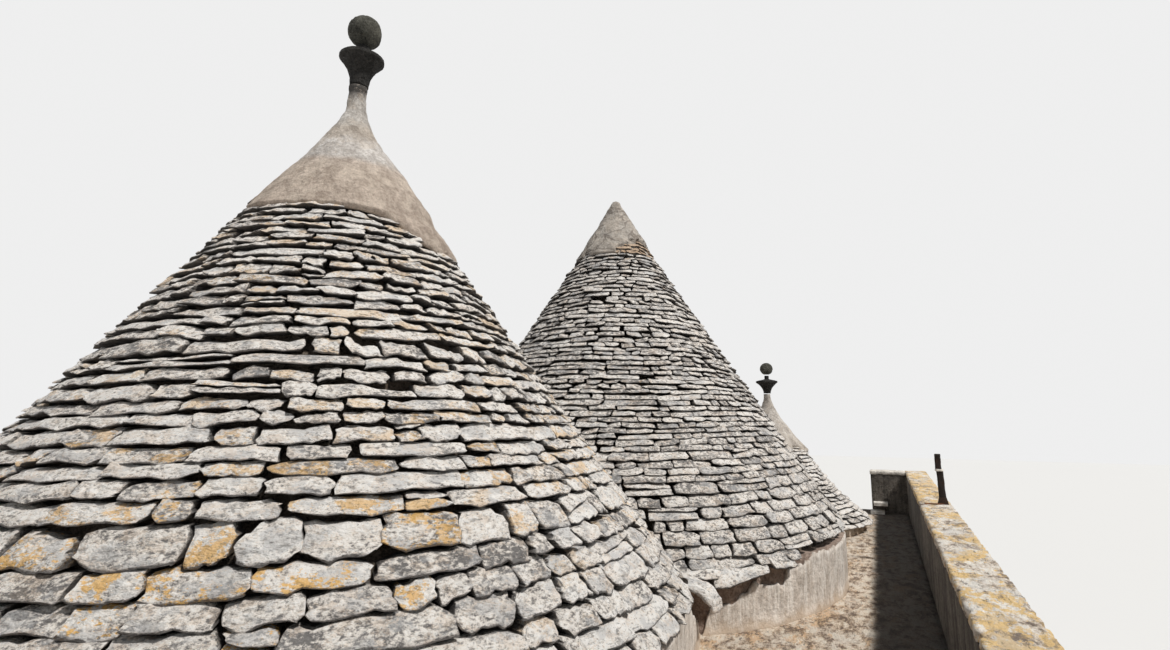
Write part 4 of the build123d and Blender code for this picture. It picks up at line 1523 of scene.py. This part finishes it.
def spout_piece():
    """A slab bent along its length. In words: the middle line rises and falls by a few
    millimetres up to the crown, then turns down through a quarter circle, and the section is a
    flat oval that narrows towards the tip."""
    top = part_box("valley_spout")[1].z
    points = vertices("valley_spout")
    way = np.array([math.cos(SPOUT_BEARING), math.sin(SPOUT_BEARING)])
    side = np.array([-way[1], way[0]])
    run = points[:, :2] @ way
    middle_line = (points[:, :2] @ side).mean()
    start, end = run.min(), run.max()
    rows, columns = 40, 36
    share = np.linspace(0, 1, rows)[:, None]
    around = ring_angles(columns)
    bend = SPOUT_BEND
    level = end - 0.018 - SPOUT_HALF_THICK - bend - start
    travel = share * (level + bend * np.pi / 2 - 0.012)
    turn = np.clip((travel - level) / bend, 0, np.pi / 2)
    arch = 0.014 * np.sin(np.pi * np.clip(travel / level, 0, 1)) - 0.014
    reach = start + np.minimum(travel, level) + bend * np.sin(turn)
    width = SPOUT_HALF_WIDE * (1 - 0.42 * share ** 3)
    thick = SPOUT_HALF_THICK * (1 - 0.12 * share)
    square = np.abs(np.cos(around)) ** 0.6 * np.sign(np.cos(around))
    across = width * square
    lift = thick * np.sign(np.sin(around)) * np.abs(np.sin(around)) ** 0.75
    sag = 0.012 * (across / SPOUT_HALF_WIDE) ** 2
    along = reach + lift * np.sin(turn)
    height = top - 0.040 + arch - bend * (1 - np.cos(turn)) + lift * np.cos(turn) - sag
    rings = np.stack([along * way[0] + (middle_line + across) * side[0],
                      along * way[1] + (middle_line + across) * side[1], height], -1)
    direction = unit(rings - rings.mean(1, keepdims=True))
    sizes = [(0.10, 0.005), (0.04, 0.003), (0.018, 0.0012)]
    points, faces = closed_rings(roughened(rings, direction, sizes, 351, -0.004))
    values = {"tone": np.full(len(points), 0.72), "warm": np.zeros(len(points)),
              "rim": np.zeros(len(points))}
    new_piece("valley_spout_stone", points, faces, middle_stone, ["valley_spout"],
              values)


spout_piece()

# %% Hanging slabs
hanging = np.array([
    [(-51.6, -0.150), (-39.8, -0.070), (-39.2, -0.005), (-51.0, 0.010)],
    [(-57.0, -0.060), (-50.2, -0.085), (-49.4, 0.012), (-56.6, 0.030)],
    [(-38.6, -0.052), (-31.7, -0.045), (-31.4, 0.050), (-38.4, 0.062)],
])
points, faces, values = shape_stones(middle, np.radians(hanging[..., 0]), hanging[..., 1], 361,
                                     proud=0.030, sunk=0.0, depth=0.20)
values["tone"][:] = 0.62
new_piece("middle_eave_slabs", points, faces, middle_stone, (), values, 1)

# %% [markdown]
# ## Terrace
# The terrace is paved with a mortar bed that has worn into a shallow relief. A single plane would
# show a straight line where it meets the drums. A thin sheet with a few millimetres of relief
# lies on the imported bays, cut out under the drums, whose plaster swells out at its foot to meet
# it.


# %% Terrace sheet
TERRACE_SPACING = 0.055
INSIDE_PARAPET = 0.29
UNDER_DRUM = 0.09
BED_RISE = 0.011


def terrace_sheet():
    """Grid over the whole terrace, less the squares under the drums. Its height is a few random
    fields, all above the bays."""
    low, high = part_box("terrace_near")[0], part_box("terrace_far")[1]
    across = int((high.x - low.x) / TERRACE_SPACING)
    ahead = int((high.y - low.y) / TERRACE_SPACING)
    x = np.linspace(low.x + INSIDE_PARAPET, high.x - INSIDE_PARAPET, across)
    y = np.linspace(low.y + INSIDE_PARAPET, high.y - INSIDE_PARAPET, ahead)
    grid = np.stack(np.meshgrid(x, y), -1)
    flat = np.concatenate([grid, 0 * grid[..., :1]], -1)
    relief = 0.0035 * waves(flat, 0.9, 401) + 0.0022 * waves(flat, 0.22, 402)
    relief = relief + 0.0012 * waves(flat, 0.08, 403)
    points = flat + np.array([0, 0, TERRACE + BED_RISE])
    points[..., 2] += np.clip(relief, -0.008, 0.012)
    rows, columns = grid.shape[:2]
    faces = grid_faces(rows, columns, closed=False)
    centres = grid.reshape(-1, 2)[faces].mean(1)
    keep = np.ones(len(faces), bool)
    for cone, radius in ((near, near_outer), (middle, middle_outer), (far, far_outer)):
        keep &= np.hypot(*(centres - cone.centre).T) > radius - UNDER_DRUM
    points, faces = only_used(points, faces[keep])
    bed = new_piece("terrace_bed", points, [faces], terrace_mortar)
    thicken(bed, 0.03)


terrace_sheet()

# %% [markdown]
# ## Copings
# The parapets are covered with flat slabs whose arrises have weathered round and chipped. They are
# close to the camera, so their top is a fine grid. Each slab run is a rectangle carried along its
# length, with the corners rounded, and every point moves inwards only, so the run stays inside
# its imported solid.


# %% Slab runs
ARRIS = 0.009
CHIP_DEPTH = 0.013
END_SHRINK = [0.80, 0.93, 0.985]


def slab_run(node, spacing, seed, material):
    """A box as a rounded section carried along its longer side. In words: the section's corners
    follow circles, the ends shrink over their last rows, and every point moves inwards by a
    random depth, with deeper chips along the arrises."""
    low, high = corners_of(node)
    size = high - low
    long = int(np.argmax(size[:2]))
    cross = 1 - long
    half = np.array([size[cross], size[2]]) / 2
    wide = max(5, int(size[cross] / spacing))
    tall = max(3, int(size[2] / spacing))
    flat = np.linspace(-1, 1, wide, endpoint=False)
    rise = np.linspace(-1, 1, tall, endpoint=False)
    section = np.concatenate([
        np.stack([flat, -np.ones(wide)], -1), np.stack([np.ones(tall), rise], -1),
        np.stack([-flat, np.ones(wide)], -1), np.stack([-np.ones(tall), -rise], -1),
    ]) * half
    core = np.clip(section, -(half - ARRIS), half - ARRIS)
    away = section - core
    length = np.maximum(np.linalg.norm(away, axis=1, keepdims=True), 1e-9)
    section = core + away / length * np.minimum(length, ARRIS)
    count = max(4, int(size[long] / spacing))
    at = np.concatenate([[0, 0.25, 0.6], np.arange(1, count), [count - 0.6, count - 0.25, count]])
    at = low[long] + at / count * size[long]
    shrink = np.ones(len(at))
    shrink[:3] = END_SHRINK
    shrink[-3:] = END_SHRINK[::-1]
    points = np.empty((len(at), len(section), 3))
    points[..., long] = at[:, None]
    middle_of = (low + high) / 2
    scale = 1 - (1 - shrink[:, None]) * min(half) / half[0]
    points[..., cross] = middle_of[cross] + section[None, :, 0] * scale
    points[..., 2] = middle_of[2] + section[None, :, 1] * shrink[:, None]
    core_point = points.copy()
    core_point[..., cross] = middle_of[cross] + np.clip(
        points[..., cross] - middle_of[cross], -half[0] * 0.8, half[0] * 0.8)
    core_point[..., 2] = middle_of[2]
    inwards = core_point - points
    inwards = inwards / np.maximum(np.linalg.norm(inwards, axis=-1, keepdims=True), 1e-9)
    depth = 0.0022 + 0.0022 * waves(points, 0.28, seed) + 0.0016 * waves(points, 0.07, seed + 1)
    depth = depth + 0.0008 * waves(points, 0.03, seed + 2)
    edge = np.abs(section[:, 0]) > half[0] - ARRIS * 0.8
    chips = np.clip(waves(points, 0.13, seed + 3) - 0.7, 0, 2) * CHIP_DEPTH
    depth = np.maximum(depth, 0.0002) + chips * edge[None, :]
    points = points + inwards * depth[..., None]
    if long == 0:
        points = points[::-1]
    closed, faces = closed_rings(points)
    new_piece(node + "_slabs", closed, faces, material, [node])


slab_run("east_coping_near", 0.020, 501, coping_stone)
slab_run("east_coping_far", 0.030, 502, coping_stone)
slab_run("west_coping", 0.050, 503, coping_stone)
slab_run("front_coping", 0.050, 504, coping_stone)
slab_run("rear_coping", 0.050, 505, coping_stone)
slab_run("rear_return_coping", 0.025, 506, return_lime)

# %% [markdown]
# ## Stub of a post
# The stub is two lengths of bar, one set a little beside the other and tied with pale mortar. A
# rusted strap runs from its foot over the coping.


# %% Post
def bar(name, start, end, half_wide, half_deep, rows, seed, material, replaced=()):
    """A bar from start to end. Its section is a rounded rectangle, a superellipse of power six,
    whose faces wander a little."""
    start, end = np.array(start), np.array(end)
    columns = 28
    angle = ring_angles(columns)
    power = (np.abs(np.cos(angle)) ** 6 + np.abs(np.sin(angle)) ** 6) ** (-1 / 6)
    axis = (end - start) / np.linalg.norm(end - start)
    side = np.array([1.0, 0, 0]) if abs(axis[0]) < 0.9 else np.array([0, 0, -1.0])
    side = side - side @ axis * axis
    side /= np.linalg.norm(side)
    front = np.cross(axis, side)
    share = np.concatenate([[0, 0.01], np.linspace(0.03, 0.97, rows), [0.99, 1]])
    shrink = np.interp(share, [0, 0.01, 0.03, 0.97, 0.99, 1], [0.86, 0.96, 1, 1, 0.96, 0.86])
    out = (np.cos(angle) * half_wide * power)[:, None] * side
    out = out + (np.sin(angle) * half_deep * power)[:, None] * front
    rings = start + share[:, None, None] * (end - start) + shrink[:, None, None] * out
    small = min(half_wide, half_deep)
    sizes = [(0.12, 0.06 * small), (0.03, 0.04 * small)]
    rings = roughened(rings, np.broadcast_to(unit(out), rings.shape), sizes, seed, -0.04 * small,
                      0.0)
    points, faces = closed_rings(rings)
    new_piece(name, points, faces, material, replaced)


BREAK_AT = 0.64
low, high = corners_of("post")
foot_middle = np.array([high[0] - 0.033, (low + high)[1] / 2, low[2] - 0.03])
top_middle = np.array([low[0] + 0.046, (low + high)[1] / 2, high[2]])
joint = foot_middle + BREAK_AT * (top_middle - foot_middle)
shift = np.array([-0.010, 0, 0])
bar("post_lower", foot_middle, joint + 0.03 * (top_middle - foot_middle), 0.033, 0.030, 20, 521,
    post_iron, ["post"])
bar("post_upper", joint + shift, top_middle + 0.4 * shift, 0.029, 0.028, 12, 522, post_iron)
bar("post_tie", joint + 0.6 * shift - [0, 0, 0.006], joint + 0.6 * shift + [0, 0, 0.016], 0.038,
    0.036, 4, 523, step_lime)
coping_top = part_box("post_foot")[0].z
bar("post_strap", [high[0] - 0.03, low[1] + 0.01, coping_top + 0.004],
    [high[0] - 0.205, low[1] - 0.03, coping_top + 0.004], 0.005, 0.016, 10, 524, foot_rust)

# %% [markdown]
# ## Outer plaster
# The walls, the terrace's edge and the outside of the parapets were plastered in one go, so one
# skin covers them. A flat face would look like card. The skin wanders by a few millimetres, its
# corners are a little round, and it stops at the doorway and at the gap in the rear parapet.


# %% Wall skin
DOOR_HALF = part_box("door_jamb_east")[0].x
DOOR_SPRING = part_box("door_arch")[0].z
SURROUND = 0.20
WALL_SPACING = 0.075
WALL_CORNER = 0.016
MARK_GAP = 0.010


def beside_door(x, z):
    """Distance from the edge of the doorway, which is a half circle on two uprights."""
    return np.hypot(x, np.maximum(z - DOOR_SPRING, 0)) - DOOR_HALF


def wall_skin():
    """Rounded rectangle carried straight up. In words: each point of the rectangle is drawn back
    to a core that is smaller by the corner radius, then pushed out by the radius, plus a random
    field that stays inside the copings' reach."""
    half = np.array([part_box("east_parapet")[1].x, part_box("rear_parapet")[1].y])
    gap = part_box("rear_parapet")[1].x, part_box("rear_return")[0].x
    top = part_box("east_parapet")[1].z
    stops = [[-half[0], half[0]], [-half[1], half[1]], [half[0], gap[1], gap[0], -half[0]],
             [half[1], -half[1]]]
    sides = []
    for index, marks in enumerate(stops):
        run = []
        for first, second in zip(marks[:-1], marks[1:]):
            count = max(2, int(abs(second - first) / WALL_SPACING))
            run.append(np.linspace(first, second, count, endpoint=False))
        near_end = marks[-1] - MARK_GAP * np.sign(marks[-1] - marks[-2])
        near_start = marks[0] + MARK_GAP * np.sign(marks[1] - marks[0])
        run = np.sort(np.concatenate([*run, [near_start, near_end]]))
        run = run if marks[1] > marks[0] else run[::-1]
        level = half[1 - index % 2] * (-1 if index in (0, 3) else 1)
        across = np.full(len(run), level)
        sides.append(np.stack([run, across] if index % 2 == 0 else [across, run], -1))
    ground_plan = np.concatenate(sides)
    core = np.clip(ground_plan, -(half - WALL_CORNER), half - WALL_CORNER)
    outwards = unit(ground_plan - core)
    height = np.concatenate([np.linspace(0, TERRACE, 36), np.linspace(TERRACE, top, 9)[1:]])
    line = core + outwards * WALL_CORNER
    points = np.stack(np.broadcast_arrays(line[:, 0], line[:, 1], height[:, None]), -1)
    relief = 0.0055 + 0.0022 * waves(points, 1.1, 601) + 0.0012 * waves(points, 0.30, 602)
    at_front = points[..., 1] < 0
    clear = np.clip((beside_door(points[..., 0], points[..., 2]) - SURROUND) / 0.10, 0, 1)
    relief = np.clip(relief, 0.0015, 0.0090) * np.where(at_front, clear, 1) + 0.0005
    points[..., :2] += outwards * relief[..., None]
    rows, columns = points.shape[:2]
    faces = grid_faces(rows, columns)
    centre = points.reshape(-1, 3)[faces].mean(1)
    door = (centre[:, 1] < -half[1] + 0.1) & (beside_door(centre[:, 0], centre[:, 2]) < 0.10)
    open_end = (centre[:, 1] > half[1] - 0.1) & (centre[:, 2] > TERRACE)
    open_end &= (centre[:, 0] > gap[0]) & (centre[:, 0] < gap[1])
    points, faces = only_used(points, faces[~door & ~open_end])
    skin = new_piece("outer_plaster", points, [faces], wall_plaster)
    thicken(skin, 0.012)


wall_skin()

# %% [markdown]
# ## Stones round the doorway
# The opening is framed with dressed stones: five courses on each side, long and short in turn,
# and an arch of wedge-shaped voussoirs. Each is a block with worn arrises, a little proud of the
# plaster and of the passage.


# %% Door stones
def block_grid(marks):
    """Points and quads on the surface of the cube from -1 to 1, cut at the marks."""
    count = len(marks)
    first, second = (grid.ravel() for grid in np.meshgrid(marks, marks))
    one = np.ones(count * count)
    sheets = [np.stack(axes, -1) for axes in (
        (one, first, second), (-one, second, first), (second, one, first), (first, -one, second),
        (first, second, one), (second, first, -one))]
    faces = np.concatenate([grid_faces(count, count, False, turn * count * count)
                            for turn in range(6)])
    points, inverse = np.unique(np.concatenate(sheets).round(6), axis=0, return_inverse=True)
    return points, inverse.ravel()[faces]


def blocks(ranges, place_point, seed, wear=0.006):
    """Worn blocks. A block is a range of three own coordinates, and place_point turns those into
    x, y and z. In words: a point on the cube is drawn in where two faces meet, scaled to the
    block's ranges, placed, and moved inwards by a random field."""
    cube, quads = block_grid(np.array([-1, -0.94, -0.5, 0, 0.5, 0.94, 1.0]))
    random = np.random.default_rng(seed)
    low, high = np.array(ranges, float).transpose(2, 0, 1)[:, :, None, :]
    edges = (np.abs(cube) > 0.99).sum(-1, keepdims=True)
    own = cube * (1 - np.where(edges > 1, 0.030 * (edges - 1), 0))
    points = place_point((low + high) / 2 + own * (high - low) / 2)
    middle_point = points.mean(1, keepdims=True)
    way = unit(middle_point - points)
    shift = random.uniform(-50, 50, (len(points), 1, 3))
    depth = 0.45 * wear * (1 + 0.7 * waves(points + shift, 0.13, seed + 1))
    depth = depth + 0.35 * wear * waves(points + shift, 0.05, seed + 2)
    points = points + way * np.maximum(depth, 0)[..., None]
    offsets = (np.arange(len(points)) * len(cube))[:, None, None]
    tone = np.repeat(np.clip(random.normal(0.56, 0.12, len(points)), 0, 1), len(cube))
    # rim marks the blocks' edges, where the shader paints shade in the joints between them.
    rim = np.tile(0.9 * (edges[:, 0] > 1), len(points))
    values = {"tone": tone, "warm": 0 * tone, "rim": rim}
    return points.reshape(-1, 3), [(quads[None] + offsets).reshape(-1, 4)], values


HEADER, STRETCHER = (0.19, 0.32), (0.30, 0.20)
VOUSSOIRS = (0.20, 0.24)
VOUSSOIR_DEPTH = 0.26
PAST_JAMB = 0.008

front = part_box("front_coping")[0].y + 0.0005
inner = DOOR_HALF - PAST_JAMB
levels = np.array([0.0, 0.30, 0.56, 0.87, 1.15, DOOR_SPRING])
uprights, voussoirs = [], []
for index, (bottom, top) in enumerate(zip(levels[:-1], levels[1:])):
    wide, deep = STRETCHER if index % 2 else HEADER
    uprights.append([(inner, inner + wide), (front, front + deep), (bottom + 0.004, top - 0.006)])
turns = np.radians([0, 19, 41, 60, 79, 101, 121, 140, 161, 180])
for index, (start, end) in enumerate(zip(turns[:-1], turns[1:])):
    reach = inner + VOUSSOIRS[index % 2]
    voussoirs.append([(inner, reach), (front, front + VOUSSOIR_DEPTH),
                      (start + 0.012, end - 0.012)])


def on_arch(own):
    """Own coordinates are the distance from the arch's centre, y, and the angle."""
    return np.stack([own[..., 0] * np.cos(own[..., 2]), own[..., 1],
                     DOOR_SPRING + own[..., 0] * np.sin(own[..., 2])], -1)


for side, name in ((1, "door_stones_east"), (-1, "door_stones_west")):
    points, faces, values = blocks(uprights, lambda own: own * np.array([side, 1, 1]), 610 + side)
    faces = [faces[0] if side > 0 else faces[0][:, ::-1]]
    new_piece(name, points, faces, door_stone, (), values, 0)
points, faces, values = blocks(voussoirs, on_arch, 615)
new_piece("door_voussoirs", points, [faces[0][:, ::-1]], door_stone, (), values,
          0)

# %% [markdown]
# ## What is left of the imported model
# The arches inside, the domes, the parapets and the bays keep their imported shape, because they
# stand behind the finishes or show little. Each takes the finish of its slot, and a few have
# their own, such as the parapets that stand in the sun, whose plaster is painted lighter than
# that of the shaded east parapet.


# %% Finish the plain nodes
FINISHES = {
    "wall_plaster": wall_plaster,
    "dressed_stone": dressed_stone,
    "rubble_stone": rubble_stone,
    "terrace_mortar": terrace_mortar,
    "drum_plaster": drum_plaster,
    "roof_stone": dressed_stone,
    "cap_mortar": near_cap_lime,
    "finial_stone": cup_stone,
    "parapet_plaster": parapet_plaster,
    "coping_stone": coping_stone,
    "post_iron": post_iron,
    "foot_rust": foot_rust,
}
# The parapets in the sun take the lighter plaster and the shaded east one the dark: partly painted
# light.
OWN_FINISHES = {"rear_steps": step_lime, "post_foot": foot_iron, "west_parapet": sunlit_parapet,
                "front_parapet": sunlit_parapet, "rear_parapet": sunlit_parapet}
for subpart in frame["record"]["subparts"]:
    material = OWN_FINISHES.get(subpart["node"], FINISHES[subpart["material_slot"]])
    data = nodes[subpart["node"]].data
    if not data.materials:
        data.materials.append(material)
    for index in range(len(data.materials)):
        data.materials[index] = material
print("finished nodes", len(nodes))
